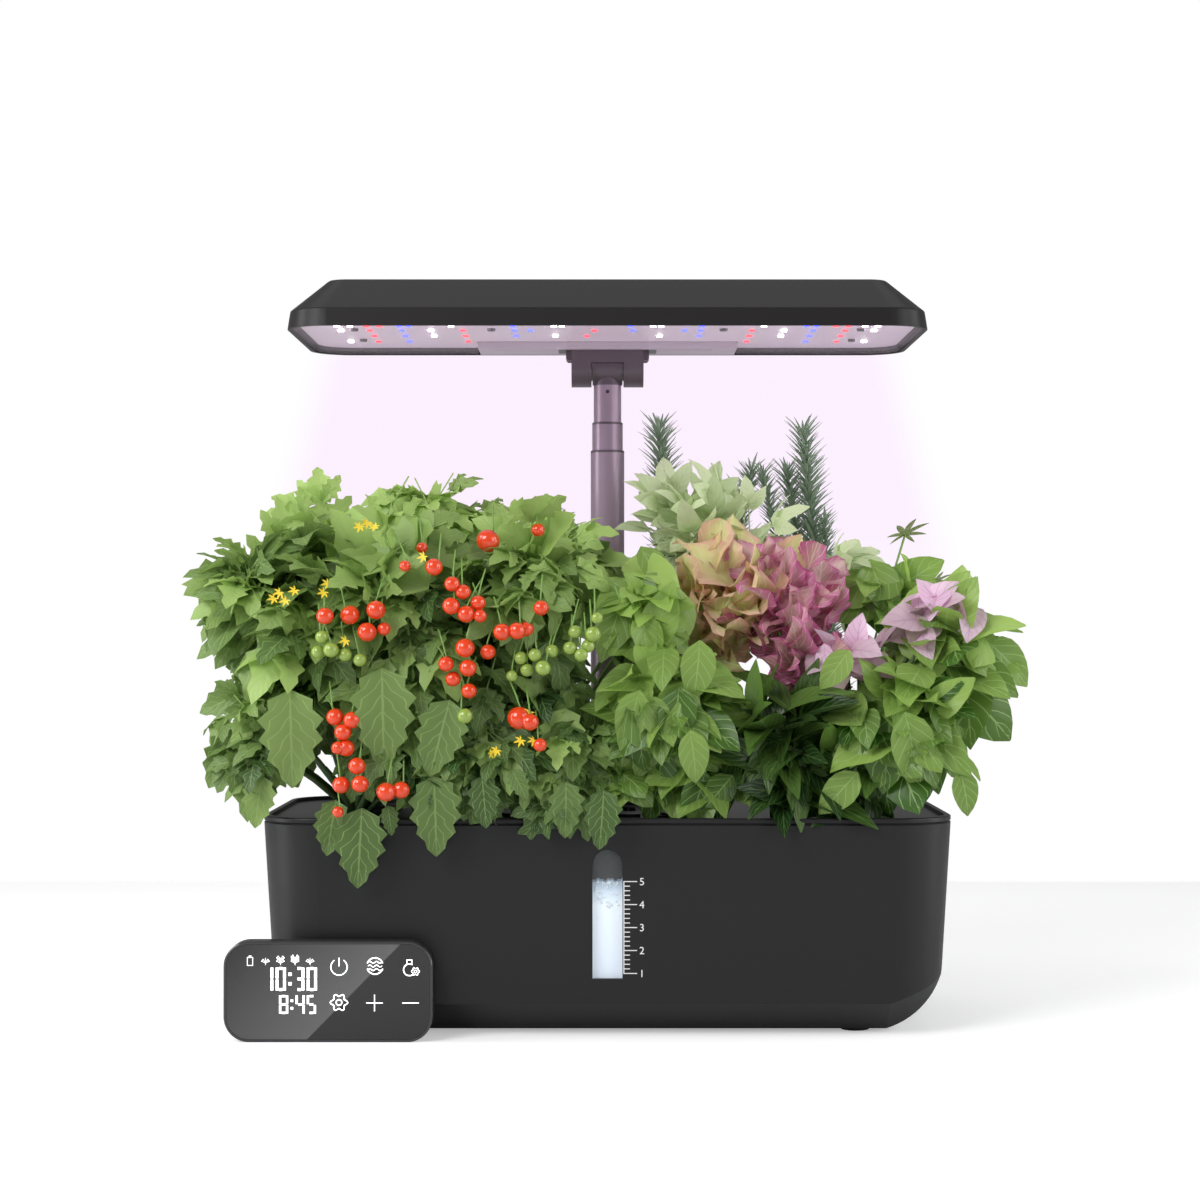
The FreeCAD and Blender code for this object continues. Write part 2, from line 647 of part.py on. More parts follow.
def one_sponge():
    top = DECK_TOP - SPONGE_DROP
    bottom = top - SPONGE_LENGTH
    inset = BASKET_WALL + SPONGE_GAP
    body = faceted([(basket_reach(bottom, inset), bottom), (basket_reach(top, inset), top)], POD_SIDES)
    return body.cut(faceted([(STEM_RADIUS + 0.5, top - STEM_DEPTH - 1.0), (STEM_RADIUS + 0.5, top + 1)], STEM_SIDES))


def one_collar():
    """The snap-in disc that closes the pod round the stem."""
    z = DECK_TOP + BASKET_RIM
    edge = BASKET_RIM_RADIUS - 2.0
    plug = basket_reach(DECK_TOP, BASKET_WALL + SPONGE_GAP / 2)
    disc = faceted([(edge, z), (edge - 0.8, z + COLLAR_THICKNESS)], POD_SIDES)
    disc = disc.fuse(faceted([(plug, z - 1.6), (plug, z)], POD_SIDES))
    return disc.cut(faceted([(COLLAR_HOLE_RADIUS, z - 5), (COLLAR_HOLE_RADIUS, z + 5)], STEM_SIDES))


def on_every_pod(piece):
    made = []
    for x, y in pod_places():
        copy = piece.copy()
        copy.translate(V(x, y, 0))
        made.append(copy)
    return made


# Mast

def tube(radius, z0, z1):
    outer = rod(radius, V(0, MAST_Y, z0), UP, z1 - z0)
    return outer.cut(rod(radius - TUBE_WALL, V(0, MAST_Y, z0 - 1), UP, z1 - z0 + 2))


def inner_radius(radius):
    return radius - TUBE_WALL


def tube_bottom(outer_top):
    """The lower end of a sliding tube: it still overlaps the one outside it when fully drawn out."""
    return outer_top - MAST_TRAVEL - MAST_OVERLAP


def middle_tube_bottom():
    """The middle tube reaches further down, so that its bush clears the upper tube when the mast is lowered."""
    return tube_bottom(LOWER_TOP) - MIDDLE_EXTRA


def guide_bush(sliding_radius, guide_radius, bottom):
    """A plastic bush on the lower end of a sliding tube, which guides it in the tube outside."""
    bush = rod(inner_radius(guide_radius) - RUNNING_FIT, V(0, MAST_Y, bottom - BUSH_LIP), UP, BUSH_LIP)
    bush = bush.fuse(rod(inner_radius(sliding_radius) - 0.02, V(0, MAST_Y, bottom - 0.5), UP, BUSH_HEIGHT))
    return bush.cut(rod(inner_radius(sliding_radius) - 2.0, V(0, MAST_Y, bottom - 5), UP, BUSH_HEIGHT + 10))


def top_collar(radius, sliding_radius, top):
    """The thin ring that closes the top of a tube round the one that slides in it."""
    ring = rod(radius, V(0, MAST_Y, top), UP, COLLAR_RING)
    ring = ring.makeChamfer(0.4, level_edges(ring, top + COLLAR_RING))
    return ring.cut(rod(sliding_radius + RUNNING_FIT, V(0, MAST_Y, top - 1), UP, COLLAR_RING + 2))


def mast_base():
    half_x, half_y = BASE_WIDTH / 2, BASE_DEPTH / 2
    base = lofted([
        rounded_wire(half_x, half_y, BASE_CORNER, DECK_TOP, 0, BASE_Y),
        rounded_wire(half_x - 2.0, half_y - 2.0, BASE_CORNER - 2.0, BASE_TOP, 0, BASE_Y),
    ])
    base = base.makeChamfer(1.0, level_edges(base, BASE_TOP))
    cuts = [rod(LOWER_RADIUS + RUNNING_FIT, V(0, MAST_Y, DECK_TOP - 1), UP, BASE_HEIGHT + 2)]
    for x, y in base_screw_places():
        cuts.append(rod(SCREW_RADIUS + 0.2, V(x, y, DECK_TOP - 1), UP, BASE_HEIGHT + 2))
        cuts.append(rod(SCREW_HEAD_RADIUS + 0.3, V(x, y, BASE_TOP - 4.0), UP, 6.0))
    cuts.append(rod(INLET_RADIUS + 0.02, inlet_start(), BACK, INLET_LENGTH + 5))
    return base.cut(Part.makeCompound(cuts))


def inlet_start():
    """The blind end of the socket that takes the adapter's plug, in the back of the mast base."""
    return V(0, BASE_Y + BASE_DEPTH / 2 - INLET_LENGTH - 0.6, DECK_TOP + INLET_HEIGHT)


def power_inlet():
    start = inlet_start()
    socket = rod(INLET_RADIUS, start, BACK, INLET_LENGTH)
    socket = socket.cut(rod(INLET_BORE, start + V(0, INLET_LENGTH - INLET_DEPTH, 0), BACK, INLET_DEPTH))
    return socket.fuse(rod(INLET_PIN, start, BACK, INLET_LENGTH - 0.8))


def screw(place, direction, length, head=SCREW_HEAD_RADIUS):
    """A plain pan-head screw; the place is under its head."""
    down = faceted([(SCREW_RADIUS - 0.05, -length), (SCREW_RADIUS - 0.05, 0.0)], SCREW_SIDES)
    made = down.fuse(faceted([(head, 0.0), (head - 0.3, SCREW_HEAD)], SCREW_SIDES))
    if direction.z > 0:
        made.rotate(V(0, 0, 0), RIGHT, 180)
    made.translate(place)
    return made


def base_screws():
    return [screw(V(x, y, BASE_TOP - 4.0), DOWN, BASE_HEIGHT - 4.0 + 1.8) for x, y in base_screw_places()]


# Tilt joint between mast and lamp

def mast_knuckle():
    neck_low = UPPER_TOP
    barrel = rod(BARREL_RADIUS, V(-BARREL_LENGTH / 2, MAST_Y, PIVOT_Z), RIGHT, BARREL_LENGTH)
    neck = rod(UPPER_RADIUS, V(0, MAST_Y, neck_low), UP, PIVOT_Z - neck_low)
    plug = rod(inner_radius(UPPER_RADIUS) - 0.02, V(0, MAST_Y, neck_low - PLUG_LENGTH), UP, PLUG_LENGTH + 1)
    body = barrel.fuse(neck).fuse(plug)
    body = body.cut(rod(PIN_RADIUS + RUNNING_FIT, V(-20, MAST_Y, PIVOT_Z), RIGHT, 40))
    body = body.cut(rod(3.0, V(0, MAST_Y, neck_low - PLUG_LENGTH - 1), UP, PLUG_LENGTH + 2.0))
    return body.cut(rod(1.3, V(0, MAST_Y - 20, UPPER_TOP - 4.5), BACK, 20))


def set_screw():
    """The grub screw that holds the knuckle's plug in the upper tube."""
    return rod(1.3 - 0.02, V(0, MAST_Y - UPPER_RADIUS + 0.3, UPPER_TOP - 4.5), BACK, 4.5)


def mast_upper_tube():
    body = tube(UPPER_RADIUS, tube_bottom(MIDDLE_TOP), UPPER_TOP)
    return body.cut(rod(1.3, V(0, MAST_Y - 20, UPPER_TOP - 4.5), BACK, 20))


def yoke_screw_places():
    return [(sx * x, MAST_Y + YOKE_SCREW_BACK) for sx in (-1, 1) for x in YOKE_SCREW_X]


def ear(side):
    x0 = EAR_INNER if side > 0 else -EAR_OUTER
    width = EAR_OUTER - EAR_INNER
    round_end = rod(EAR_RADIUS, V(x0, MAST_Y, PIVOT_Z), RIGHT, width)
    block = box(x0, x0 + width, MAST_Y - EAR_RADIUS, MAST_Y + EAR_RADIUS, PIVOT_Z, LAMP_BOTTOM + 0.5)
    wing0, wing1 = sorted((side * (EAR_OUTER - 1.0), side * WING_OUTER))
    wing_bottom = LAMP_BOTTOM - WING_HEIGHT
    wing = box(wing0, wing1, MAST_Y - WING_HALF_DEPTH, MAST_Y + WING_HALF_DEPTH, wing_bottom, LAMP_BOTTOM + 0.5)
    low = [e for e in level_edges(wing, wing_bottom) if e.BoundBox.XLength < 0.01]
    outer = max(low, key=lambda e: side * e.BoundBox.XMax)
    return round_end.fuse(block).fuse(wing.makeChamfer(1.2, [outer]))


def yoke_web():
    """The wall between the ears in front of the barrel, hollowed to let the barrel turn."""
    front = MAST_Y - EAR_RADIUS
    web = box(-EAR_INNER - 0.5, EAR_INNER + 0.5, front, MAST_Y, WEB_BOTTOM, LAMP_BOTTOM + 0.5)
    return web.cut(rod(BARREL_RADIUS + BARREL_CLEARANCE, V(-40, MAST_Y, PIVOT_Z), RIGHT, 80))


def lamp_yoke():
    plate = box(-YOKE_PLATE_HALF_WIDTH, YOKE_PLATE_HALF_WIDTH, MAST_Y - EAR_RADIUS, MAST_Y + EAR_RADIUS,
                LAMP_BOTTOM, LAMP_BOTTOM + YOKE_PLATE_THICKNESS)
    yoke = plate.fuse(ear(-1)).fuse(ear(1)).fuse(yoke_web())
    cuts = [rod(PIN_RADIUS + 0.02, V(-40, MAST_Y, PIVOT_Z), RIGHT, 80)]
    cuts += [rod(PIN_HEAD_RADIUS + 0.1, V(side * (EAR_OUTER - PIN_HEAD), MAST_Y, PIVOT_Z), V(side, 0, 0), 10)
             for side in (-1, 1)]
    cuts += [rod(SCREW_RADIUS, V(x, y, LAMP_BOTTOM + YOKE_SKIN), UP, 8) for x, y in yoke_screw_places()]
    return yoke.cut(Part.makeCompound(cuts))


def hinge_pin():
    length = EAR_OUTER - PIN_HEAD
    shank = rod(PIN_RADIUS, V(-length, MAST_Y, PIVOT_Z), RIGHT, 2 * length)
    head = rod(PIN_HEAD_RADIUS, V(-length, MAST_Y, PIVOT_Z), V(-1, 0, 0), PIN_HEAD)
    recess = Part.Face(Part.makePolygon([
        V(-length - PIN_HEAD, MAST_Y + 2.0 * math.cos(math.radians(60 * k)), PIVOT_Z + 2.0 * math.sin(math.radians(60 * k)))
        for k in range(7)
    ])).extrude(V(1.2, 0, 0))
    return shank.fuse(head).cut(recess)


def hinge_nut():
    length = EAR_OUTER - PIN_HEAD
    nut = rod(PIN_HEAD_RADIUS, V(length, MAST_Y, PIVOT_Z), RIGHT, PIN_HEAD)
    return nut.cut(rod(1.8, V(length + PIN_HEAD - 1.0, MAST_Y, PIVOT_Z), RIGHT, 2.0))


def hinge_washers():
    made = []
    for side in (-1, 1):
        start = V(side * (BARREL_LENGTH / 2 + WASHER_GAP), MAST_Y, PIVOT_Z)
        disc = rod(WASHER_RADIUS, start, V(side, 0, 0), WASHER_THICKNESS)
        made.append(disc.cut(rod(PIN_RADIUS + RUNNING_FIT, V(-40, MAST_Y, PIVOT_Z), RIGHT, 80)))
    return made


# Lamp

def lamp_stack(inset, z0, top):
    """The lamp's outside: an upright rim and four sloping sides up to a flat top, at an offset."""
    rim_top = LAMP_BOTTOM + LAMP_RIM
    half_x, half_y = LAMP_HALF_WIDTH - inset, LAMP_HALF_DEPTH - inset
    corner = LAMP_CORNER - inset
    draft = LAMP_RIM_DRAFT
    drop = inset * 0.35
    slope = LAMP_SLOPE
    return lofted([
        rounded_wire(half_x, half_y, corner, z0, 0, LAMP_Y),
        rounded_wire(half_x - draft, half_y - draft, corner - draft, rim_top - drop, 0, LAMP_Y),
        rounded_wire(half_x - draft - slope, half_y - draft - slope, LAMP_TOP_CORNER - inset * 0.5, top, 0, LAMP_Y),
    ])


def lamp_cover():
    body = lamp_stack(0.0, LAMP_BOTTOM, LAMP_TOP)
    body = body.makeFillet(LAMP_EDGE, level_edges(body, LAMP_TOP))
    body = body.makeFillet(LAMP_CREASE, level_edges(body, LAMP_BOTTOM + LAMP_RIM))
    hollow = lamp_stack(LAMP_WALL, LAMP_BOTTOM - 1.0, LAMP_TOP - LAMP_WALL)
    body = body.cut(hollow)
    lip_low = BOARD_BOTTOM + BOARD_THICKNESS
    height = LAMP_TOP - LAMP_WALL - lip_low + 1.0
    posts = [rod(BOARD_POST_RADIUS, V(x, y, lip_low), UP, height) for x, y in board_screw_places()]
    body = body.fuse(Part.makeCompound(posts))
    holes = [rod(SCREW_RADIUS, V(x, y, lip_low - 1), UP, 9.0) for x, y in board_screw_places()]
    return body.cut(Part.makeCompound(holes))


def board_row(share):
    """A place along the board's depth, as a share of the way from the lamp's front edge to the strip."""
    return LAMP_FRONT + share * (STRIP_FRONT - LAMP_FRONT)


def board_screw_places():
    front, back = (board_row(share) for share in BOARD_SCREW_ROWS)
    ends = [(side * BOARD_SCREW_X, y) for side in (-1, 1) for y in (front, back)]
    return ends + [(side * BOARD_SCREW_MIDDLE_X, front) for side in (-1, 1)]


def lamp_slab(inset, z0, z1):
    """A level slab of the lamp's rounded outline, at an offset."""
    return rounded_block(LAMP_HALF_WIDTH - inset, LAMP_HALF_DEPTH - inset, LAMP_CORNER - inset, z0, z1, 0, LAMP_Y)


def strip_clearance(z0, z1):
    """The notch that the driver strip fills, open towards the back."""
    half = STRIP_HALF_WIDTH + LENS_GAP
    return box(-half, half, STRIP_FRONT - LENS_GAP, LAMP_BACK + 1, z0, z1)


def lamp_lens():
    inset = LAMP_WALL + LENS_GAP
    rim = lamp_slab(inset, LENS_BOTTOM, BOARD_BOTTOM).cut(lamp_slab(inset + LENS_RIM, LENS_TOP, BOARD_BOTTOM + 1))
    return rim.cut(strip_clearance(LENS_BOTTOM - 1, BOARD_BOTTOM + 1))


def led_board():
    board = lamp_slab(LAMP_WALL + LENS_GAP + LENS_RIM, BOARD_BOTTOM, BOARD_BOTTOM + BOARD_THICKNESS)
    board = board.cut(strip_clearance(BOARD_BOTTOM - 1, BOARD_BOTTOM + 5))
    holes = [rod(SCREW_RADIUS + 0.2, V(x, y, BOARD_BOTTOM - 1), UP, 5) for x, y in board_screw_places()]
    return board.cut(Part.makeCompound(holes))


def led_places(colour):
    """The chips of one colour: straight columns from front to back on both sides, and a few at the centre."""
    places = []
    for x, name, rows in LED_COLUMNS:
        if name == colour:
            places += [(side * x, board_row(LED_ROWS[row])) for row in rows for side in (-1, 1)]
    return places + [(x, board_row(LED_ROWS[row])) for x, name, row in LED_CENTRE if name == colour]


def leds(colour):
    half = LED_SIZE / 2
    return [box(x - half, x + half, y - half, y + half, BOARD_BOTTOM - LED_HEIGHT, BOARD_BOTTOM)
            for x, y in led_places(colour)]


def board_screws():
    return [screw(V(x, y, BOARD_BOTTOM), UP, BOARD_SCREW_LENGTH, BOARD_SCREW_HEAD_RADIUS)
            for x, y in board_screw_places()]


def driver_cover():
    """The opaque strip at the back of the underside, which carries the yoke and covers the driver."""
    back = LAMP_BACK - LAMP_WALL - LENS_GAP
    strip = box(-STRIP_HALF_WIDTH, STRIP_HALF_WIDTH, STRIP_FRONT, back, LAMP_BOTTOM, STRIP_TOP)
    plate = box(-YOKE_PLATE_HALF_WIDTH - 0.1, YOKE_PLATE_HALF_WIDTH + 0.1, MAST_Y - EAR_RADIUS - 0.1,
                MAST_Y + EAR_RADIUS + 0.1, LAMP_BOTTOM - 1, LAMP_BOTTOM + YOKE_PLATE_THICKNESS)
    vent_y = MAST_Y - VENT_FORWARD
    vent = box(VENT_X - VENT_LENGTH / 2, VENT_X + VENT_LENGTH / 2, vent_y - VENT_WIDTH / 2, vent_y + VENT_WIDTH / 2,
               LAMP_BOTTOM - 1, LAMP_BOTTOM + 9)
    upright = [e for e in vent.Edges if e.BoundBox.ZLength > 5]
    vent = vent.makeFillet(VENT_WIDTH / 2 - 0.1, upright)
    strip = strip.cut(plate).cut(vent)
    holes = [rod(SCREW_RADIUS + 0.2, V(x, y, LAMP_BOTTOM), UP, 9) for x, y in yoke_screw_places()]
    holes.append(rod(STRIP_HOLE_RADIUS, V(-STRIP_HOLE_X, MAST_Y - VENT_FORWARD, LAMP_BOTTOM - 1), UP, 9))
    return strip.cut(Part.makeCompound(holes))


def yoke_screws():
    return [screw(V(x, y, STRIP_TOP), DOWN, STRIP_THICKNESS - YOKE_SKIN - 0.1) for x, y in yoke_screw_places()]


def driver_board():
    """The lamp's power supply board with its tallest parts, on the driver strip."""
    front, back = MAST_Y - DRIVER_FORWARD, MAST_Y + 1.0
    top = STRIP_TOP + DRIVER_BOARD
    board = box(-DRIVER_HALF_WIDTH, DRIVER_HALF_WIDTH, front, back, STRIP_TOP, top)
    for x0, x1, height in DRIVER_PARTS:
        board = board.fuse(box(x0, x1, front + 2.0, back - 2.0, top - 0.1, top + height))
    return board.fuse(rod(4.0, V(0, (front + back) / 2, top - 0.1), UP, 10.0))


# Control pad

def pad_outline(inset, y0, y1):
    """The pad's rounded face outline, extruded along Y."""
    half_x, half_z = PAD_WIDTH / 2 - inset, PAD_HEIGHT / 2 - inset
    shape = rounded_block(half_x, half_z, PAD_CORNER - inset, 0, y1 - y0)
    shape.rotate(V(0, 0, 0), RIGHT, 90)
    shape.translate(V(PAD_X, y1, PAD_HEIGHT / 2))
    return shape


def pad_back():
    return PAD_FRONT_Y + PAD_FACE_THICKNESS


def pad_rear_case():
    seam = PAD_FRONT_Y + PAD_GLASS + 1.8
    case = pad_outline(0.0, seam, pad_back())
    half = PAD_BAY_WIDTH / 2
    bay_back = PAD_FRONT_Y + PAD_BAY_THICKNESS
    bay = Part.Face(Part.makePolygon([
        V(PAD_X - half, pad_back() - 1.0, 0), V(PAD_X - half, bay_back, 0), V(PAD_X - half, bay_back, PAD_BAY_HEIGHT - 9.0),
        V(PAD_X - half, pad_back() - 1.0, PAD_BAY_HEIGHT), V(PAD_X - half, pad_back() - 1.0, 0),
    ])).extrude(V(PAD_BAY_WIDTH, 0, 0))
    case = case.fuse(bay)
    hollow = pad_outline(PAD_WALL, seam - 1, pad_back() - PAD_WALL)
    inner = half - PAD_WALL
    cell_bay = box(PAD_X - inner, PAD_X + inner, seam - 1, bay_back - PAD_WALL, PAD_WALL, PAD_BAY_HEIGHT - 9.0)
    case = case.cut(hollow).cut(cell_bay)
    door = battery_door_block(0.25)
    return case.cut(door)


def battery_door_block(gap):
    bay_back = PAD_FRONT_Y + PAD_BAY_THICKNESS
    return box(PAD_X - 30 - gap, PAD_X + 30 + gap, bay_back - PAD_WALL - 1.0, bay_back + 1.0,
               PAD_WALL + 0.6 - gap, PAD_BAY_HEIGHT - 10.0 + gap)


def pad_battery_door():
    bay_back = PAD_FRONT_Y + PAD_BAY_THICKNESS
    door = battery_door_block(0.0).common(box(PAD_X - 60, PAD_X + 60, bay_back - PAD_WALL, bay_back, 0, 60))
    ridges = [box(PAD_X - 8, PAD_X + 8, bay_back - 0.4, bay_back + 0.5, 6.0 + 2.4 * k, 7.0 + 2.4 * k) for k in range(3)]
    return door.fuse(Part.makeCompound(ridges))


def pad_bezel():
    seam = PAD_FRONT_Y + PAD_GLASS + 1.8
    ring = pad_outline(0.0, PAD_FRONT_Y, seam)
    front = [e for e in ring.Edges if abs(e.BoundBox.YMin - PAD_FRONT_Y) < 0.01 and abs(e.BoundBox.YMax - PAD_FRONT_Y) < 0.01]
    ring = ring.makeChamfer(0.7, front)
    ring = ring.cut(pad_outline(PAD_BEZEL, PAD_FRONT_Y - 1, PAD_FRONT_Y + PAD_GLASS + 0.1))
    return ring.cut(pad_outline(PAD_BEZEL + 1.6, PAD_FRONT_Y - 1, seam + 1))


def pad_glass():
    return pad_outline(PAD_BEZEL + PAD_SEAM, PAD_FRONT_Y + 0.1, PAD_FRONT_Y + 0.1 + PAD_GLASS)


def pad_board():
    y0 = PAD_FRONT_Y + PAD_GLASS + 2.2
    board = pad_outline(PAD_BEZEL + 2.2, y0, y0 + 1.2)
    return board.cut(box(PAD_X - PAD_WIDTH, PAD_X + PAD_WIDTH, y0 - 1, y0 + 2, 0, PAD_BOARD_BOTTOM))


def pad_display():
    y0 = PAD_FRONT_Y + 0.1 + PAD_GLASS
    x0 = PAD_X - PAD_WIDTH / 2 + 9.0
    z0 = PAD_BOARD_BOTTOM + 1.0
    return box(x0, x0 + DISPLAY_WIDTH, y0, PAD_FRONT_Y + PAD_GLASS + 2.2, z0, z0 + DISPLAY_HEIGHT)


def pad_cells():
    y = PAD_FRONT_Y + PAD_BAY_THICKNESS - PAD_WALL - CELL_RADIUS - 1.2
    z = PAD_WALL + CELL_RADIUS + 0.2
    made = []
    for k in (-1, 1):
        x0 = PAD_X + 1.0 if k > 0 else PAD_X - 1.0 - CELL_LENGTH
        cell = rod(CELL_RADIUS, V(x0, y, z), RIGHT, CELL_LENGTH - 1.0)
        made.append(cell.fuse(rod(1.9, V(x0 + CELL_LENGTH - 1.0, y, z), RIGHT, 0.8)))
    return made


# Plants, as the plain soft forms of stem and crown

def plant(spec):
    column, row, (dx, dy), (half_x, half_y), low, high = spec
    x, y = POD_COLUMNS[column], POD_ROWS[row]
    middle, half_z = (low + high) / 2, (high - low) / 2
    rings = []
    for k in range(CROWN_RINGS):
        tilt = math.pi * ((k + 0.5) / CROWN_RINGS - 0.5)
        rings.append((math.cos(tilt), middle + half_z * math.sin(tilt) / math.sin(math.pi * (0.5 - 0.5 / CROWN_RINGS))))
    crown = faceted(rings, CROWN_SIDES, x + dx, y + dy, (half_x, half_y))
    stem = faceted([(STEM_RADIUS, DECK_TOP - SPONGE_DROP - STEM_DEPTH), (STEM_RADIUS, middle)], STEM_SIDES, x, y)
    return crown.fuse(stem)


def build():
    """Every node of the garden, by name."""
    made = {
        "tank_shell": tank_shell(),
        "level_window": level_window(),
        "window_seal": window_seal(),
        "tank_feet": feet(),
        "pump_housing": pump_housing(),
        "pump_cover": pump_cover(),
        "pump_impeller": pump_impeller(),
        "pump_suction_cups": suction_cups(),
        "pump_riser": pump_riser(),
        "planting_deck": planting_deck(),
        "fill_flap": fill_flap(),
        "flap_pins": flap_pins(),
        "grow_baskets": on_every_pod(one_basket()),
        "grow_sponges": on_every_pod(one_sponge()),
        "pod_collars": on_every_pod(one_collar()),
        "mast_base": mast_base(),
        "base_screws": base_screws(),
        "power_inlet": power_inlet(),
        "mast_lower_tube": tube(LOWER_RADIUS, SOCKET_BOTTOM, LOWER_TOP - COLLAR_RING),
        "lower_tube_collar": top_collar(LOWER_RADIUS, MIDDLE_RADIUS, LOWER_TOP - COLLAR_RING),
        "mast_middle_tube": tube(MIDDLE_RADIUS, middle_tube_bottom(), MIDDLE_TOP - COLLAR_RING),
        "middle_guide_bush": guide_bush(MIDDLE_RADIUS, LOWER_RADIUS, middle_tube_bottom()),
        "middle_tube_collar": top_collar(MIDDLE_RADIUS, UPPER_RADIUS, MIDDLE_TOP - COLLAR_RING),
        "mast_upper_tube": mast_upper_tube(),
        "upper_guide_bush": guide_bush(UPPER_RADIUS, MIDDLE_RADIUS, tube_bottom(MIDDLE_TOP)),
        "mast_knuckle": mast_knuckle(),
        "knuckle_set_screw": set_screw(),
        "lamp_yoke": lamp_yoke(),
        "hinge_pin": hinge_pin(),
        "hinge_nut": hinge_nut(),
        "hinge_washers": hinge_washers(),
        "lamp_cover": lamp_cover(),
        "lamp_lens": lamp_lens(),
        "led_board": led_board(),
        "leds_white": leds("white"),
        "leds_red": leds("red"),
        "leds_blue": leds("blue"),
        "board_screws": board_screws(),
        "driver_cover": driver_cover(),
        "driver_board": driver_board(),
        "yoke_screws": yoke_screws(),
        "pad_rear_case": pad_rear_case(),
        "pad_battery_door": pad_battery_door(),
        "pad_bezel": pad_bezel(),
        "pad_glass": pad_glass(),
        "pad_board": pad_board(),
        "pad_display": pad_display(),
        "pad_cells": pad_cells(),
        "tomato_plants": [plant(spec) for spec in TOMATOES],
        "basil_plants": [plant(spec) for spec in BASILS],
        "lettuce_plants": [plant(spec) for spec in LETTUCES],
        "rosemary_plants": [plant(spec) for spec in ROSEMARIES],
        "sage_plant": [plant(spec) for spec in SAGES],
    }
    return made


os.makedirs(PARTS, exist_ok=True)
for node, shapes in build().items():
    save(node, shapes)
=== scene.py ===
"""Looks of the countertop hydroponic garden: finishes, water, lettering, lamp light and the plants.

Units are metres in the frame's own axes. +Z is up and the front faces -Y.
"""

import json
import logging
import math
from dataclasses import dataclass
from enum import Enum
from typing import Callable, Sequence

import bpy
import numpy as np
from mathutils import Matrix, Vector

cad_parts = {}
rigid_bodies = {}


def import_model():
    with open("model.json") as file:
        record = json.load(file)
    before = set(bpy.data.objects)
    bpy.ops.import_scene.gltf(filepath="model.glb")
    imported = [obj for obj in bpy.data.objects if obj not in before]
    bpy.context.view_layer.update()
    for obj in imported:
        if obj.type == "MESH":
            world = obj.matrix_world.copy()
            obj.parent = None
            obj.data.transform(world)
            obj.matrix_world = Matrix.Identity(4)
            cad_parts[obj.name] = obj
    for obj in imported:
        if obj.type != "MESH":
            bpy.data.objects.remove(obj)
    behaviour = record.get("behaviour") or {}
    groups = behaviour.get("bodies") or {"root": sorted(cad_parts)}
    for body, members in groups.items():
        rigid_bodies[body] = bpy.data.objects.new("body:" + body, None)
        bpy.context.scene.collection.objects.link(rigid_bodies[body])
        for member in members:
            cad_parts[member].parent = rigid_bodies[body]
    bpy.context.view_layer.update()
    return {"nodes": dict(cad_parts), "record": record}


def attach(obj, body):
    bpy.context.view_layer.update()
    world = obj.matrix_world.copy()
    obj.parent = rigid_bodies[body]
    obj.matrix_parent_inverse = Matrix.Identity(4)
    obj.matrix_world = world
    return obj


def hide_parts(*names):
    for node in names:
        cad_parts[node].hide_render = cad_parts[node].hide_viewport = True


LOG = logging.getLogger("garden")
MM = 0.001

# The photograph's view
PHOTO_SIZE = 1200.0
PHOTO_FOCUS = 2464.0
PHOTO_CENTRE = 607.5
PHOTO_HORIZON = 623.0
EYE_Y = -1.553
EYE_Z = 0.246
SENSOR = 36.0

# Places on the object that the added pieces line up with
TANK_FRONT_AT_RIM = -0.098
TANK_RIM_Z = 0.127
TANK_DRAFT = 0.06
DECK_TOP = 0.1282
POD_ROWS = (-0.058, 0.0, 0.058)
POD_COLUMNS = (-0.15, -0.05, 0.05, 0.15)
STEM_START = 0.001
PAD_FACE_Y = -0.1081
LABEL_LIFT = 0.00012

# Room that leaves keep to, from left front to right back
LEAF_ROOM_LOW = (-0.248, -0.119)
LEAF_ROOM_HIGH = (0.248, 0.112)

# The mast, which stands at the middle of the width, and the room that leaves leave round it
MAST_Y = 0.064
MAST_RADIUS = 0.011
MAST_CLEARING = 0.002

# The clearing left round each fruit in pixels, and the depth behind which leaves may back the fruit
FRUIT_CLEARING = 12.0
FRUIT_BACKING = -0.045

Colour = tuple[float, float, float]
Point = tuple[float, float, float]


class Slot(str, Enum):
    """Material slots of the record, named beside the added pieces but never read."""

    TOMATO = "tomato_green"
    BASIL = "basil_green"
    LETTUCE = "lettuce_red"
    ROSEMARY = "rosemary_green"
    SAGE = "sage_green"
    LABEL = "led_white"
    WATER = "window_clear"
    STEEL = "screw_steel"


def photo_point(x: float, y: float, depth: float) -> Vector:
    """Finds the place that shows at a point of the photograph.

    Args:
        x: Column in the 1200-pixel photograph.
        y: Row in the 1200-pixel photograph.
        depth: The place's own Y, in metres.

    Returns:
        The place in the frame.
    """
    scale = (depth - EYE_Y) / PHOTO_FOCUS
    return Vector(((x - PHOTO_CENTRE) * scale, depth, EYE_Z - (y - PHOTO_HORIZON) * scale))


def photo_length(pixels: float, depth: float) -> float:
    """The real length of a stretch of the photograph at a depth."""
    return pixels * (depth - EYE_Y) / PHOTO_FOCUS


# Finishes

@dataclass(frozen=True)
class Finish:
    """A plain finish of one shader.

    Attributes:
        colour: Base colour, linear.
        rough: Roughness.
        metal: Metallic.
        coat: Clear coat weight.
        speckle: Size of the fine grain in its surface, in metres, or 0 for none.
        glow: Emission strength.
        alpha: Opacity.
        gloss: Specular level.
    """

    colour: Colour
    rough: float = 0.5
    metal: float = 0.0
    coat: float = 0.0
    speckle: float = 0.0
    glow: float = 0.0
    alpha: float = 1.0
    gloss: float = 0.5


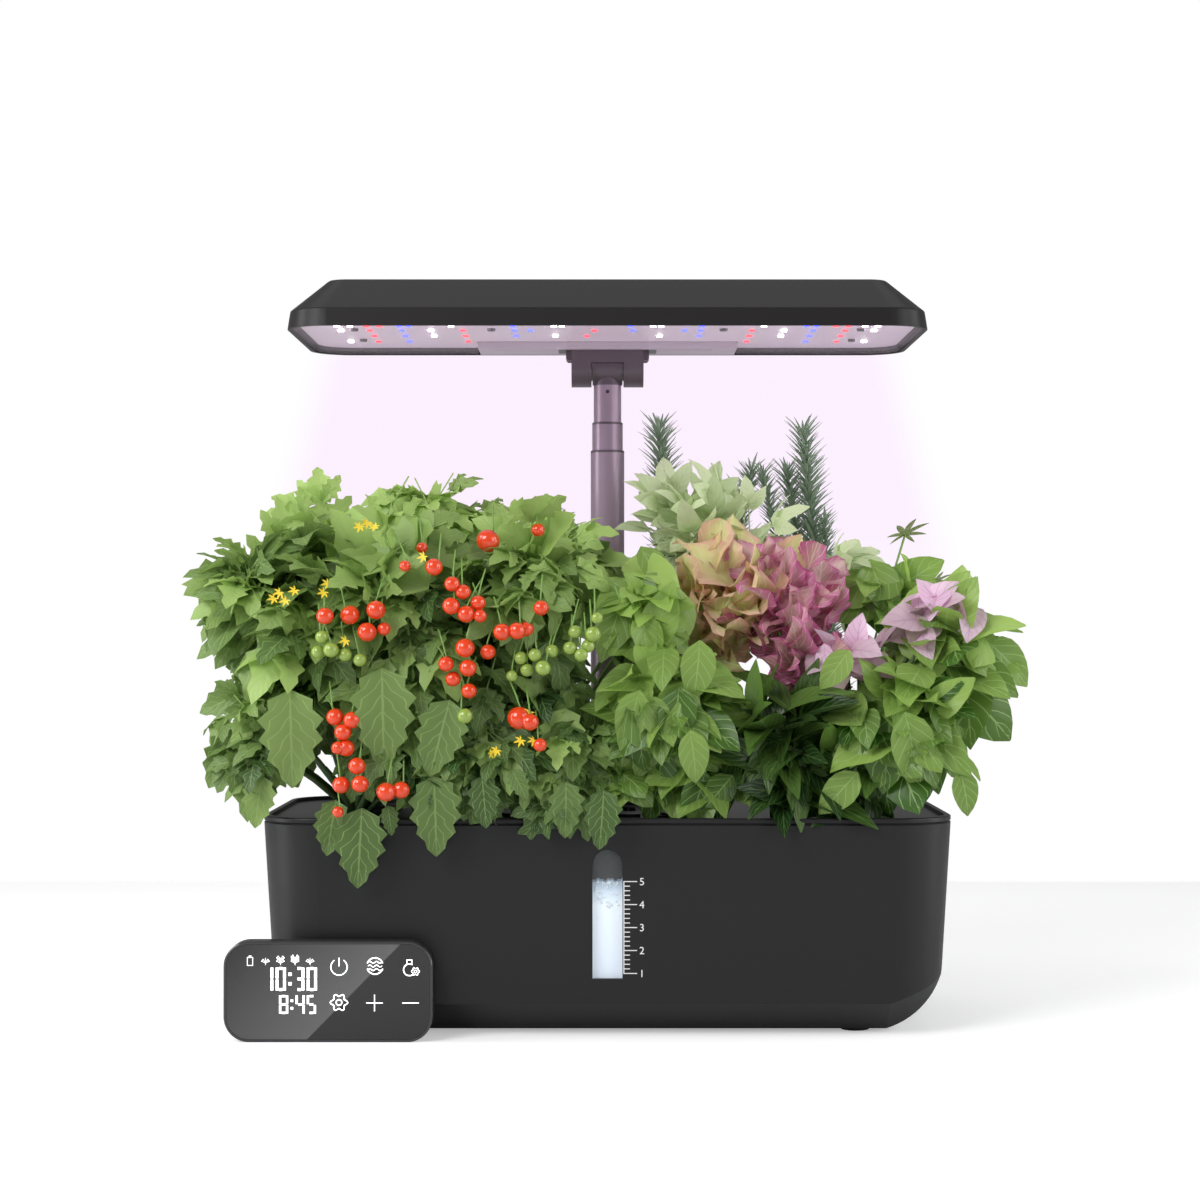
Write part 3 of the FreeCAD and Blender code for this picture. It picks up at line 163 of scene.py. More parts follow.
FINISHES = {
    "tank_black": Finish((0.014, 0.014, 0.015), 0.42, speckle=0.0006, gloss=0.3),
    "deck_black": Finish((0.012, 0.012, 0.013), 0.4, speckle=0.0006, gloss=0.35),
    "window_clear": Finish((0.9, 0.95, 0.97), 0.03, alpha=0.05, gloss=0.2),
    "seal_rubber": Finish((0.01, 0.01, 0.01), 0.8),
    "foot_rubber": Finish((0.012, 0.012, 0.012), 0.75),
    "pump_black": Finish((0.014, 0.014, 0.016), 0.6),
    "impeller_white": Finish((0.7, 0.7, 0.7), 0.3),
    "riser_clear": Finish((0.6, 0.62, 0.62), 0.3),
    "basket_black": Finish((0.014, 0.014, 0.014), 0.45),
    "sponge_brown": Finish((0.06, 0.035, 0.02), 0.95, speckle=0.0012),
    "mast_metal": Finish((0.4, 0.29, 0.39), 0.34, metal=0.2),
    "mast_trim": Finish((0.13, 0.095, 0.125), 0.36, speckle=0.0006),
    "bush_white": Finish((0.62, 0.62, 0.6), 0.45),
    "screw_steel": Finish((0.12, 0.1, 0.12), 0.35, metal=0.9),
    "pin_steel": Finish((0.3, 0.28, 0.3), 0.3, metal=0.9),
    "inlet_metal": Finish((0.6, 0.6, 0.6), 0.12, metal=1.0),
    "lamp_black": Finish((0.016, 0.0145, 0.0155), 0.38, speckle=0.0006, gloss=0.22),
    "lens_clear": Finish((0.86, 0.76, 0.86), 0.05, alpha=0.1),
    "board_white": Finish((0.6, 0.48, 0.6), 0.32, glow=0.42),
    "led_white": Finish((1.0, 0.96, 1.0), 0.3, glow=9.0),
    "led_red": Finish((1.0, 0.05, 0.08), 0.3, glow=2.2),
    "led_blue": Finish((0.07, 0.1, 1.0), 0.3, glow=3.0),
    "circuit_green": Finish((0.01, 0.09, 0.03), 0.4),
    "pad_black": Finish((0.03, 0.03, 0.032), 0.22, coat=0.3),
    "pad_case": Finish((0.018, 0.018, 0.018), 0.45, speckle=0.0006),
    "pad_glass": Finish((0.006, 0.006, 0.007), 0.06, coat=1.0),
    "display_dark": Finish((0.006, 0.006, 0.008), 0.3),
    "cell_steel": Finish((0.5, 0.5, 0.5), 0.25, metal=0.9),
}
# Painted light: the lamp's driver cover gets a lilac tint and a glow, as if lit by the grow light, though it is no
# lamp.
STRIP_PAINTED_GLOW = Finish((0.42, 0.34, 0.42), 0.4, glow=0.3)
PRINT_WHITE = Finish((0.86, 0.86, 0.86), 0.5)
LIT_WHITE = Finish((1.0, 1.0, 1.0), 0.4, glow=0.95)
BUBBLE = Finish((0.85, 0.92, 0.96), 0.08, coat=0.5)
STEM_GREEN = Finish((0.2, 0.36, 0.08), 0.5)
STEM_DARK = Finish((0.08, 0.14, 0.05), 0.55)
FLOWER_YELLOW = Finish((0.85, 0.62, 0.03), 0.6)
FRUIT_RED = Finish((0.78, 0.055, 0.01), 0.16, coat=0.6)
FRUIT_GREEN = Finish((0.28, 0.4, 0.07), 0.2, coat=0.5)


def socket(node: bpy.types.Node, name: str):
    """An input of a node by name."""
    return node.inputs[name]


def new_material(name: str) -> tuple[bpy.types.Material, bpy.types.Node]:
    """An empty node material with one principled shader."""
    material = bpy.data.materials.new(name)
    material.use_nodes = True
    return material, material.node_tree.nodes["Principled BSDF"]


def plain_material(name: str, finish: Finish) -> bpy.types.Material:
    """Makes the material of a plain finish.

    Args:
        name: The material's name.
        finish: Its values.

    Returns:
        The material.
    """
    material, shader = new_material(name)
    socket(shader, "Base Color").default_value = (*finish.colour, 1.0)
    socket(shader, "Roughness").default_value = finish.rough
    socket(shader, "Metallic").default_value = finish.metal
    socket(shader, "Coat Weight").default_value = finish.coat
    socket(shader, "Specular IOR Level").default_value = finish.gloss
    socket(shader, "Alpha").default_value = finish.alpha
    if finish.glow:
        socket(shader, "Emission Color").default_value = (*finish.colour, 1.0)
        socket(shader, "Emission Strength").default_value = finish.glow
    if finish.speckle:
        add_grain(material, shader, finish)
    return material


def add_grain(material: bpy.types.Material, shader: bpy.types.Node, finish: Finish) -> None:
    """Adds a moulded surface's fine grain to a material, as a bump and a change of roughness."""
    nodes, links = material.node_tree.nodes, material.node_tree.links
    place = nodes.new("ShaderNodeTexCoord")
    noise = nodes.new("ShaderNodeTexNoise")
    socket(noise, "Scale").default_value = 1.0 / finish.speckle
    socket(noise, "Detail").default_value = 2.0
    links.new(place.outputs["Object"], socket(noise, "Vector"))
    bump = nodes.new("ShaderNodeBump")
    socket(bump, "Strength").default_value = 0.08
    socket(bump, "Distance").default_value = 0.0002
    links.new(noise.outputs["Fac"], socket(bump, "Height"))
    links.new(bump.outputs["Normal"], socket(shader, "Normal"))
    spread = nodes.new("ShaderNodeMapRange")
    socket(spread, "To Min").default_value = finish.rough - 0.06
    socket(spread, "To Max").default_value = finish.rough + 0.06
    links.new(noise.outputs["Fac"], socket(spread, "Value"))
    links.new(spread.outputs["Result"], socket(shader, "Roughness"))


@dataclass(frozen=True)
class LeafLook:
    """How a kind of leaf is coloured.

    Attributes:
        dark: Colour of the deepest leaves.
        light: Colour of the palest leaves.
        vein: Colour of the midrib and side veins.
        veins: Number of side veins on each side.
        rough: Roughness of the upper side.
        edge: Colour towards the leaf's margin, or None.
    """

    dark: Colour
    light: Colour
    vein: Colour
    veins: float = 6.0
    rough: float = 0.45
    edge: Colour | None = None


def ramp_between(nodes, links, factor, low, high):
    """Mixes two colours or colour outputs by a factor output."""
    mix = nodes.new("ShaderNodeMix")
    mix.data_type = "RGBA"
    links.new(factor, mix.inputs[0])
    for value, slot in ((low, mix.inputs[6]), (high, mix.inputs[7])):
        if isinstance(value, tuple):
            slot.default_value = (*value, 1.0)
        else:
            links.new(value, slot)
    return mix.outputs[2]


def maths(nodes, links, kind: str, *values):
    """A maths node on numbers or outputs."""
    node = nodes.new("ShaderNodeMath")
    node.operation = kind
    for k, value in enumerate(values):
        if isinstance(value, (int, float)):
            node.inputs[k].default_value = value
        else:
            links.new(value, node.inputs[k])
    return node.outputs[0]


def leaf_material(name: str, look: LeafLook) -> bpy.types.Material:
    """Makes a leaf's material, which reads the blade's own UV map and each leaf's tint.

    Args:
        name: The material's name.
        look: The leaf's colours.

    Returns:
        The material.
    """
    material, shader = new_material(name)
    nodes, links = material.node_tree.nodes, material.node_tree.links
    tint = nodes.new("ShaderNodeAttribute")
    tint.attribute_name = "tint"
    uv = nodes.new("ShaderNodeUVMap")
    uv.uv_map = "UVMap"
    split = nodes.new("ShaderNodeSeparateXYZ")
    links.new(uv.outputs["UV"], split.inputs[0])
    side = maths(nodes, links, "ABSOLUTE", maths(nodes, links, "SUBTRACT", split.outputs["X"], 0.5))
    midrib = maths(nodes, links, "LESS_THAN", side, 0.022)
    slant = maths(nodes, links, "SUBTRACT", split.outputs["Y"], maths(nodes, links, "MULTIPLY", side, 0.7))
    phase = maths(nodes, links, "FRACT", maths(nodes, links, "MULTIPLY", slant, look.veins))
    from_line = maths(nodes, links, "ABSOLUTE", maths(nodes, links, "SUBTRACT", phase, 0.5))
    side_vein = maths(nodes, links, "LESS_THAN", from_line, 0.05)
    veins = maths(nodes, links, "MULTIPLY", maths(nodes, links, "MAXIMUM", midrib, side_vein), 0.55)
    colour = ramp_between(nodes, links, tint.outputs["Fac"], look.dark, look.light)
    if look.edge:
        outward = maths(nodes, links, "POWER", maths(nodes, links, "MULTIPLY", side, 2.0), 1.6)
        colour = ramp_between(nodes, links, outward, colour, look.edge)
    colour = ramp_between(nodes, links, veins, colour, look.vein)
    links.new(colour, socket(shader, "Base Color"))
    socket(shader, "Roughness").default_value = look.rough
    bump = nodes.new("ShaderNodeBump")
    socket(bump, "Strength").default_value = 0.5
    socket(bump, "Distance").default_value = 0.0006
    links.new(from_line, socket(bump, "Height"))
    links.new(bump.outputs["Normal"], socket(shader, "Normal"))
    through = nodes.new("ShaderNodeBsdfTranslucent")
    links.new(colour, through.inputs["Color"])
    both = nodes.new("ShaderNodeMixShader")
    both.inputs[0].default_value = 0.3
    links.new(shader.outputs[0], both.inputs[1])
    links.new(through.outputs[0], both.inputs[2])
    links.new(both.outputs[0], nodes["Material Output"].inputs["Surface"])
    return material


# Meshes

@dataclass
class Shape:
    """A mesh being put together."""

    points: list
    faces: list
    uvs: list

    @staticmethod
    def empty() -> "Shape":
        """A shape with nothing in it."""
        return Shape([], [], [])

    def add(self, points: Sequence, faces: Sequence, uvs: Sequence | None = None) -> None:
        """Adds points and faces, with one UV place for each point."""
        start = len(self.points)
        self.points.extend(Vector(p) for p in points)
        self.faces.extend(tuple(start + i for i in face) for face in faces)
        self.uvs.extend(uvs if uvs is not None else [(0.25, 0.5)] * len(points))

    def moved(self, place: Matrix) -> "Shape":
        """A copy at another place."""
        return Shape([place @ p for p in self.points], list(self.faces), list(self.uvs))

    def join(self, other: "Shape") -> None:
        """Adds another shape to this one."""
        self.add(other.points, other.faces, other.uvs)

    def to_object(self, name: str, material: bpy.types.Material | None, smooth: bool = True) -> bpy.types.Object:
        """Makes an object of the shape and links it to the scene.

        Args:
            name: The object's name.
            material: Its material.
            smooth: Whether it is shaded smooth.

        Returns:
            The object.
        """
        mesh = bpy.data.meshes.new(name)
        mesh.from_pydata([tuple(p) for p in self.points], [], self.faces)
        layer = mesh.uv_layers.new(name="UVMap")
        corners = np.empty(len(mesh.loops), dtype=np.int32)
        mesh.loops.foreach_get("vertex_index", corners)
        layer.data.foreach_set("uv", np.asarray(self.uvs, dtype=np.float32)[corners].ravel())
        mesh.polygons.foreach_set("use_smooth", [smooth] * len(mesh.polygons))
        if material:
            mesh.materials.append(material)
        thing = bpy.data.objects.new(name, mesh)
        bpy.context.scene.collection.objects.link(thing)
        return thing


def grid_faces(rows: int, columns: int) -> list:
    """Quads of a grid of points stored row by row."""
    return [
        (r * columns + c, r * columns + c + 1, (r + 1) * columns + c + 1, (r + 1) * columns + c)
        for r in range(rows - 1)
        for c in range(columns - 1)
    ]


@dataclass(frozen=True)
class Blade:
    """The form of a single leaf blade of unit length, from its base at the origin to its tip on +Y.

    Attributes:
        width: Greatest width.
        belly: Where along the blade it is widest; below 1 is nearer the base.
        teeth: Number of lobes or teeth along each side.
        depth: How deep they cut, as a share of the width.
        fold: How far the halves fold up from the midrib.
        droop: How far the tip falls.
        ruffle: Height of the wavy margin.
        rows: Steps along the blade.
        halves: Steps from the midrib to the margin.
    """

    width: float
    belly: float = 0.8
    teeth: int = 0
    depth: float = 0.0
    fold: float = 0.25
    droop: float = 0.25
    ruffle: float = 0.0
    rows: int = 7
    halves: int = 2

    def outline(self, t: float) -> float:
        """Half the width at a share of the length."""
        body = math.sin(math.pi * min(1.0, max(0.0, t)) ** self.belly) ** 0.75
        saw = abs(((t * self.teeth) % 1.0) - 0.5) * 2.0 if self.teeth else 0.0
        return max(0.012, 0.5 * self.width * body * (1.0 - self.depth * saw))

    def shape(self) -> Shape:
        """The blade as a grid that follows its outline."""
        columns = 2 * self.halves + 1
        points, uvs = [], []
        for r in range(self.rows):
            t = r / (self.rows - 1)
            half = self.outline(t) if 0 < r < self.rows - 1 else 0.01
            for c in range(columns):
                s = c / self.halves - 1.0
                wave = self.ruffle * abs(s) ** 2 * math.sin(9.0 * t + (2.6 if s > 0 else 0.0))
                lift = self.fold * half * abs(s) + wave - self.droop * t * t
                points.append((s * half, t * (1.0 - 0.2 * self.droop * t), lift))
                uvs.append(((s + 1.0) / 2.0, t))
        made = Shape.empty()
        made.add(points, grid_faces(self.rows, columns), uvs)
        return made


def compound_leaf(leaflet: Blade, pairs: int, spread: float) -> Shape:
    """A feathered leaf: leaflets in pairs along a stalk, and one at its tip.

    Args:
        leaflet: The leaflet's form.
        pairs: Number of pairs.
        spread: Angle between a side leaflet and the stalk, in radians.

    Returns:
        The leaf, of unit length.
    """
    made = Shape.empty()
    blade = leaflet.shape()
    for k in range(pairs):
        along = 0.26 + 0.46 * k / max(1, pairs - 1)
        size = 0.3 + 0.12 * math.sin(math.pi * (k + 0.6) / pairs)
        for side in (-1, 1):
            place = (
                Matrix.Translation((0.0, along, -0.12 * along * along))
                @ Matrix.Rotation(-side * spread * (1.0 - 0.14 * k), 4, "Z")
                @ Matrix.Rotation(side * 0.25, 4, "Y")
                @ Matrix.Scale(size, 4)
            )
            made.join(blade.moved(place))
    tip = Matrix.Translation((0.0, 0.68, -0.06)) @ Matrix.Rotation(-0.2, 4, "X") @ Matrix.Scale(0.46, 4)
    made.join(blade.moved(tip))
    stalk = [(sx * 0.008, y, -0.12 * y * y + lift) for y in (0.0, 0.35, 0.72) for sx, lift in ((-1, 0), (0, 0.012), (1, 0))]
    made.add(stalk, grid_faces(3, 3), [(0.5, 0.5)] * len(stalk))
    return made


def palmate_leaf(leaflet: Blade, fingers: int) -> Shape:
    """A leaf of narrow fingers that spread from one point."""
    made = Shape.empty()
    blade = leaflet.shape()
    for k in range(fingers):
        angle = (k - (fingers - 1) / 2) * math.tau * 0.82 / fingers
        made.join(blade.moved(Matrix.Rotation(-angle, 4, "Z") @ Matrix.Scale(0.75 + 0.25 * math.cos(angle), 4)))
    return made


def ball(sides: int, rings: int, squash: float = 1.0) -> Shape:
    """A closed ball of unit diameter with its crown on +Z."""
    points = [(0.0, 0.0, -0.5 * squash)]
    for r in range(1, rings):
        tilt = math.pi * (r / rings - 0.5)
        for s in range(sides):
            turn = math.tau * s / sides
            points.append((0.5 * math.cos(tilt) * math.cos(turn), 0.5 * math.cos(tilt) * math.sin(turn),
                           0.5 * squash * math.sin(tilt)))
    points.append((0.0, 0.0, 0.5 * squash))
    top = len(points) - 1
    faces = [(0, 1 + (s + 1) % sides, 1 + s) for s in range(sides)]
    for r in range(rings - 2):
        low, high = 1 + r * sides, 1 + (r + 1) * sides
        faces += [(low + s, low + (s + 1) % sides, high + (s + 1) % sides, high + s) for s in range(sides)]
    last = 1 + (rings - 2) * sides
    faces += [(last + s, last + (s + 1) % sides, top) for s in range(sides)]
    made = Shape.empty()
    made.add(points, faces)
    return made


def add_tube(made: Shape, path: Sequence[Vector], radii: Sequence[float], sides: int = 5) -> None:
    """Adds a closed round tube along a path to a shape."""
    points, faces = [], []
    for k, centre in enumerate(path):
        ahead = (path[min(k + 1, len(path) - 1)] - path[max(k - 1, 0)]).normalized()
        across = ahead.orthogonal().normalized()
        other = ahead.cross(across)
        for s in range(sides):
            turn = math.tau * s / sides
            points.append(centre + radii[k] * (math.cos(turn) * across + math.sin(turn) * other))
    for k in range(len(path) - 1):
        for s in range(sides):
            a, b = k * sides + s, k * sides + (s + 1) % sides
            faces.append((a, b, b + sides, a + sides))
    faces.append(tuple(reversed(range(sides))))
    faces.append(tuple(range((len(path) - 1) * sides, len(path) * sides)))
    made.add(points, faces)


def curve_between(start: Vector, end: Vector, sag: float, steps: int = 6) -> list[Vector]:
    """Points of an arch from one place to another that leaves its start upwards."""
    lift = Vector((0.0, 0.0, (end - start).length * sag))
    middle = start.lerp(end, 0.45) + lift
    return [
        (1 - t) ** 2 * start + 2 * t * (1 - t) * middle + t * t * end
        for t in (k / (steps - 1) for k in range(steps))
    ]


# Scattering with geometry nodes

def scatter_tree() -> tuple[bpy.types.NodeTree, dict[str, str]]:
    """Makes the node tree that puts shapes on points and turns them into plain faces.

    Returns:
        The tree, and the identifiers of its inputs by name.
    """
    tree = bpy.data.node_groups.new("scatter_shapes", "GeometryNodeTree")
    side = tree.interface
    side.new_socket("Geometry", in_out="INPUT", socket_type="NodeSocketGeometry")
    inputs = {
        "Shapes": side.new_socket("Shapes", in_out="INPUT", socket_type="NodeSocketCollection").identifier,
        "Finish": side.new_socket("Finish", in_out="INPUT", socket_type="NodeSocketMaterial").identifier,
    }
    side.new_socket("Geometry", in_out="OUTPUT", socket_type="NodeSocketGeometry")
    nodes, links = tree.nodes, tree.links
    given = nodes.new("NodeGroupInput")
    shapes = nodes.new("GeometryNodeCollectionInfo")
    shapes.inputs["Separate Children"].default_value = True
    shapes.inputs["Reset Children"].default_value = True
    links.new(given.outputs["Shapes"], shapes.inputs["Collection"])
    place = nodes.new("GeometryNodeInstanceOnPoints")
    place.inputs["Pick Instance"].default_value = True
    links.new(given.outputs["Geometry"], place.inputs["Points"])
    links.new(shapes.outputs["Instances"], place.inputs["Instance"])
    for name, kind, target in (("kind", "INT", "Instance Index"), ("size", "FLOAT", "Scale")):
        reader = nodes.new("GeometryNodeInputNamedAttribute")
        reader.data_type = kind
        reader.inputs["Name"].default_value = name
        links.new(reader.outputs["Attribute"], place.inputs[target])
    turn = nodes.new("GeometryNodeInputNamedAttribute")
    turn.data_type = "FLOAT_VECTOR"
    turn.inputs["Name"].default_value = "turn"
    rotation = nodes.new("FunctionNodeEulerToRotation")
    links.new(turn.outputs["Attribute"], rotation.inputs[0])
    links.new(rotation.outputs[0], place.inputs["Rotation"])
    real = nodes.new("GeometryNodeRealizeInstances")
    links.new(place.outputs[0], real.inputs[0])
    finish = nodes.new("GeometryNodeSetMaterial")
    links.new(real.outputs[0], finish.inputs["Geometry"])
    links.new(given.outputs["Finish"], finish.inputs["Material"])
    out = nodes.new("NodeGroupOutput")
    links.new(finish.outputs[0], out.inputs[0])
    return tree, inputs


@dataclass
class Scatter:
    """Copies of a few shapes at many places, which become one plain mesh.

    Attributes:
        name: The finished object's name.
        shapes: The shapes to copy.
        material: Their material.
        places: One entry for each copy: place, Euler turn, size, tint and which shape.
    """

    name: str
    shapes: list[Shape]
    material: bpy.types.Material
    places: list

    def put(self, at: Vector, along: Vector, up: Vector, size: float, tint: float, kind: int = 0) -> None:
        """Adds one copy whose +Y lies along a direction and whose +Z is nearest to another."""
        y = along.normalized()
        z = up - up.dot(y) * y
        z = z.normalized() if z.length > 1e-4 else y.orthogonal().normalized()
        turn = Matrix((y.cross(z), y, z)).transposed().to_euler()
        self.places.append((tuple(at), tuple(turn), size, tint, kind % len(self.shapes)))

    def build(self, tree: bpy.types.NodeTree, inputs: dict[str, str]) -> bpy.types.Object:
        """Makes the copies with geometry nodes and keeps the result as a plain mesh."""
        shelf = bpy.data.collections.new(self.name + "_shapes")
        for k, shape in enumerate(self.shapes):
            piece = shape.to_object(f"{self.name}_shape_{k}", None)
            bpy.context.scene.collection.objects.unlink(piece)
            shelf.objects.link(piece)
        mesh = bpy.data.meshes.new(self.name + "_places")
        mesh.from_pydata([p[0] for p in self.places], [], [])
        columns = (("turn", "FLOAT_VECTOR", "vector", 1), ("size", "FLOAT", "value", 2),
                   ("tint", "FLOAT", "value", 3), ("kind", "INT", "value", 4))
        for name, kind, field, column in columns:
            layer = mesh.attributes.new(name, kind, "POINT")
            layer.data.foreach_set(field, np.array([p[column] for p in self.places]).ravel())
        holder = bpy.data.objects.new(self.name + "_places", mesh)
        bpy.context.scene.collection.objects.link(holder)
        modifier = holder.modifiers.new("scatter", "NODES")
        modifier.node_group = tree
        modifier[inputs["Shapes"]] = shelf
        modifier[inputs["Finish"]] = self.material
        graph = bpy.context.evaluated_depsgraph_get()
        result = bpy.data.meshes.new_from_object(holder.evaluated_get(graph))
        result.name = self.name
        thing = bpy.data.objects.new(self.name, result)
        bpy.context.scene.collection.objects.link(thing)
        bpy.data.objects.remove(holder)
        for piece in list(shelf.objects):
            bpy.data.objects.remove(piece)
        bpy.data.collections.remove(shelf)
        if not result.materials:
            result.materials.append(self.material)
        LOG.info("%s: %d copies, %d faces", self.name, len(self.places), len(result.polygons))
        return thing


# Plants

@dataclass(frozen=True)
class Puff:
    """A rounded mass of leaves, placed by where it shows in the photograph.

    Attributes:
        x: Its centre's column.
        y: Its centre's row.
        half_x: Half its width in pixels.
        half_y: Half its height in pixels.
        depth: Its centre's own Y, in metres.
        half_depth: Half its depth in metres.
        count: Number of leaves.
        size: Length of a leaf in metres.
        tint: Middle tint, from 0 dark to 1 pale.
        droop: How much its leaves hang.
    """

    x: float
    y: float
    half_x: float
    half_y: float
    depth: float
    half_depth: float
    count: int
    size: float
    tint: float = 0.4
    droop: float = 0.5

    def centre(self) -> Vector:
        """Its centre in the frame."""
        return photo_point(self.x, self.y, self.depth)

    def radii(self) -> Vector:
        """Its half sizes in metres."""
        return Vector((photo_length(self.half_x, self.depth), self.half_depth, photo_length(self.half_y, self.depth)))


def photo_spot(place: Vector) -> tuple[float, float]:
    """Where a place of the frame shows in the photograph."""
    scale = PHOTO_FOCUS / (place.y - EYE_Y)
    return PHOTO_CENTRE + place.x * scale, PHOTO_HORIZON - (place.z - EYE_Z) * scale


def kept_inside(base: Vector, reach: Vector) -> Vector:
    """Moves a leaf's base so that both its ends stay inside the room for leaves."""
    moved = base.copy()
    for axis in (0, 1):
        low = min(moved[axis], moved[axis] + reach[axis])
        high = max(moved[axis], moved[axis] + reach[axis])
        moved[axis] += max(0.0, LEAF_ROOM_LOW[axis] - low) - max(0.0, high - LEAF_ROOM_HIGH[axis])
    return moved


def fill_puff(leaves: Scatter, puff: Puff, rng: np.random.Generator, inner: float = 0.35, upright: float = 0.0,
              clear: Sequence[tuple[int, int, int]] = ()) -> None:
    """Fills a puff with leaves that point outwards, hang and show their faces. Their tints carry painted light: paler
    towards the top and outside of the puff, darker with painted shade deep inside it.

    Args:
        leaves: Where the leaves are added.
        puff: The mass to fill.
        rng: Source of the random draws.
        inner: Share of the radius that stays empty.
        upright: How much the leaves turn up.
        clear: Fruit that no leaf is to hide, by column, row and size in the photograph.
    """
    centre, radii = puff.centre(), puff.radii()
    for _ in range(puff.count):
        way = Vector(rng.normal(size=3)).normalized()
        if way.y > 0.4:
            way.y = -way.y
        reach = inner + (1.0 - inner) * rng.random() ** 0.6
        at = centre + Vector((way.x * radii.x, way.y * radii.y, way.z * radii.z)) * reach
        along = way * 0.75 + Vector(rng.normal(size=3)) * 0.4 + Vector((0.0, -0.15, upright - puff.droop))
        up = Vector((0.0, -0.75, 0.8)) + way * 0.5 + Vector(rng.normal(size=3)) * 0.28
        size = puff.size * (0.7 + 0.55 * rng.random())
        span = along.normalized() * size
        at = kept_inside(at - span * 0.5, span)
        # Painted light and shade: leaves high in the puff and near its outside are tinted paler, leaves low and deep
        # inside darker, on top of a random spread of tone.
        height = 0.22 * way.z
        tint = min(1.0, max(0.0, puff.tint + height + 0.3 * (reach - 0.8) + 0.22 * rng.normal()))
        kind = int(rng.integers(0, 16))
        middle = at + span * 0.5
        if math.hypot(middle.x, middle.y - MAST_Y) < MAST_RADIUS + MAST_CLEARING + 0.5 * size:
            continue
        seen = photo_spot(at + span * 0.6)
        if at.y < FRUIT_BACKING and any(math.hypot(seen[0] - x, seen[1] - y) < FRUIT_CLEARING + half for x, y, half in clear):
            continue
        leaves.put(at, along, up, size, tint, kind)


TOMATO_PUFFS = (
    Puff(312, 636, 62, 92, -0.050, 0.034, 84, 0.070, 0.5),
    Puff(404, 628, 92, 100, -0.060, 0.036, 150, 0.070, 0.46),
    Puff(515, 630, 74, 100, -0.060, 0.036, 120, 0.064, 0.48),
    Puff(436, 746, 112, 52, -0.084, 0.020, 120, 0.060, 0.28, 0.8),
    Puff(560, 752, 42, 52, -0.086, 0.018, 56, 0.050, 0.36, 0.8),
    Puff(258, 730, 26, 50, -0.070, 0.026, 24, 0.050, 0.45, 0.6),
    Puff(262, 592, 40, 30, -0.040, 0.026, 30, 0.064, 0.68),
    Puff(418, 524, 66, 26, 0.020, 0.034, 42, 0.056, 0.92),
    Puff(334, 550, 50, 34, 0.000, 0.034, 36, 0.060, 0.78),
    Puff(556, 566, 52, 28, -0.010, 0.030, 40, 0.052, 0.7),
    Puff(430, 664, 84, 84, -0.020, 0.020, 70, 0.066, 0.14),
    Puff(420, 690, 96, 84, 0.082, 0.026, 80, 0.062, 0.4),
)
BASIL_PUFFS = (
    Puff(664, 706, 66, 68, -0.085, 0.028, 84, 0.036, 0.5, 0.35),
    Puff(640, 612, 46, 52, -0.060, 0.026, 44, 0.036, 0.62, 0.3),
    Puff(898, 726, 76, 66, -0.084, 0.028, 62, 0.042, 0.42, 0.45),
    Puff(950, 664, 72, 72, -0.050, 0.032, 60, 0.042, 0.52, 0.35),
    Puff(880, 600, 60, 34, 0.000, 0.030, 26, 0.038, 0.5, 0.3),
    Puff(700, 780, 56, 32, -0.078, 0.018, 24, 0.032, 0.4, 0.5),
    Puff(624, 776, 26, 28, -0.082, 0.016, 26, 0.032, 0.4, 0.5),
)
PURPLE_PUFFS = (
    Puff(926, 618, 58, 28, -0.066, 0.022, 18, 0.032, 0.75, 0.25),
    Puff(846, 656, 36, 26, -0.070, 0.020, 11, 0.030, 0.6, 0.25),
)
LETTUCE_PUFFS = (
    Puff(726, 610, 60, 52, -0.030, 0.026, 30, 0.052, 0.8, 0.05),
    Puff(700, 588, 40, 30, -0.020, 0.022, 12, 0.044, 0.9, 0.0),
)
RED_LETTUCE_PUFFS = (
    Puff(782, 600, 64, 46, -0.030, 0.026, 34, 0.046, 0.6, 0.05),
    Puff(800, 652, 52, 44, -0.045, 0.024, 26, 0.044, 0.4, 0.1),
)
LANCE_PUFFS = (
    Puff(788, 742, 62, 70, -0.078, 0.024, 66, 0.056, 0.25, 0.3),
    Puff(850, 770, 50, 44, -0.070, 0.022, 26, 0.050, 0.3, 0.4),
)
PALE_PUFFS = (
    Puff(712, 544, 72, 30, 0.014, 0.018, 40, 0.060, 0.95, 0.15),
    Puff(820, 574, 42, 22, 0.014, 0.018, 18, 0.050, 0.75, 0.15),
)


@dataclass(frozen=True)
class Hanging:
    """A single leaf that hangs over the rim, from its base to its tip in the photograph."""

    base: tuple[float, float]
    tip: tuple[float, float]
    depth: float
    tint: float


HANGING_LEAVES = (
    Hanging((362, 808), (357, 892), -0.112, 0.2),
    Hanging((336, 800), (326, 858), -0.110, 0.25),
    Hanging((388, 806), (392, 836), -0.108, 0.2),
    Hanging((434, 776), (437, 860), -0.112, 0.3),
    Hanging((482, 776), (487, 830), -0.112, 0.12),
    Hanging((566, 782), (566, 840), -0.110, 0.3),
    Hanging((604, 790), (600, 852), -0.112, 0.15),
    Hanging((512, 770), (528, 800), -0.112, 0.3),
    Hanging((262, 776), (254, 830), -0.100, 0.6),
    Hanging((240, 730), (205, 790), -0.080, 0.35),
    Hanging((250, 690), (196, 712), -0.070, 0.4),
    Hanging((382, 668), (384, 772), -0.118, 0.42),
    Hanging((290, 690), (292, 792), -0.112, 0.5),
    Hanging((450, 700), (428, 780), -0.118, 0.36),
)
BROAD_LEAVES = (
    Hanging((986, 640), (1038, 684), -0.060, 0.45),
    Hanging((905, 712), (926, 792), -0.112, 0.5),
    Hanging((858, 772), (818, 816), -0.105, 0.5),
    Hanging((960, 770), (974, 818), -0.100, 0.4),
    Hanging((700, 640), (696, 704), -0.108, 0.55),
    Hanging((640, 690), (622, 750), -0.112, 0.6),
    Hanging((690, 730), (700, 786), -0.112, 0.6),
    Hanging((850, 650), (820, 690), -0.100, 0.6),
)
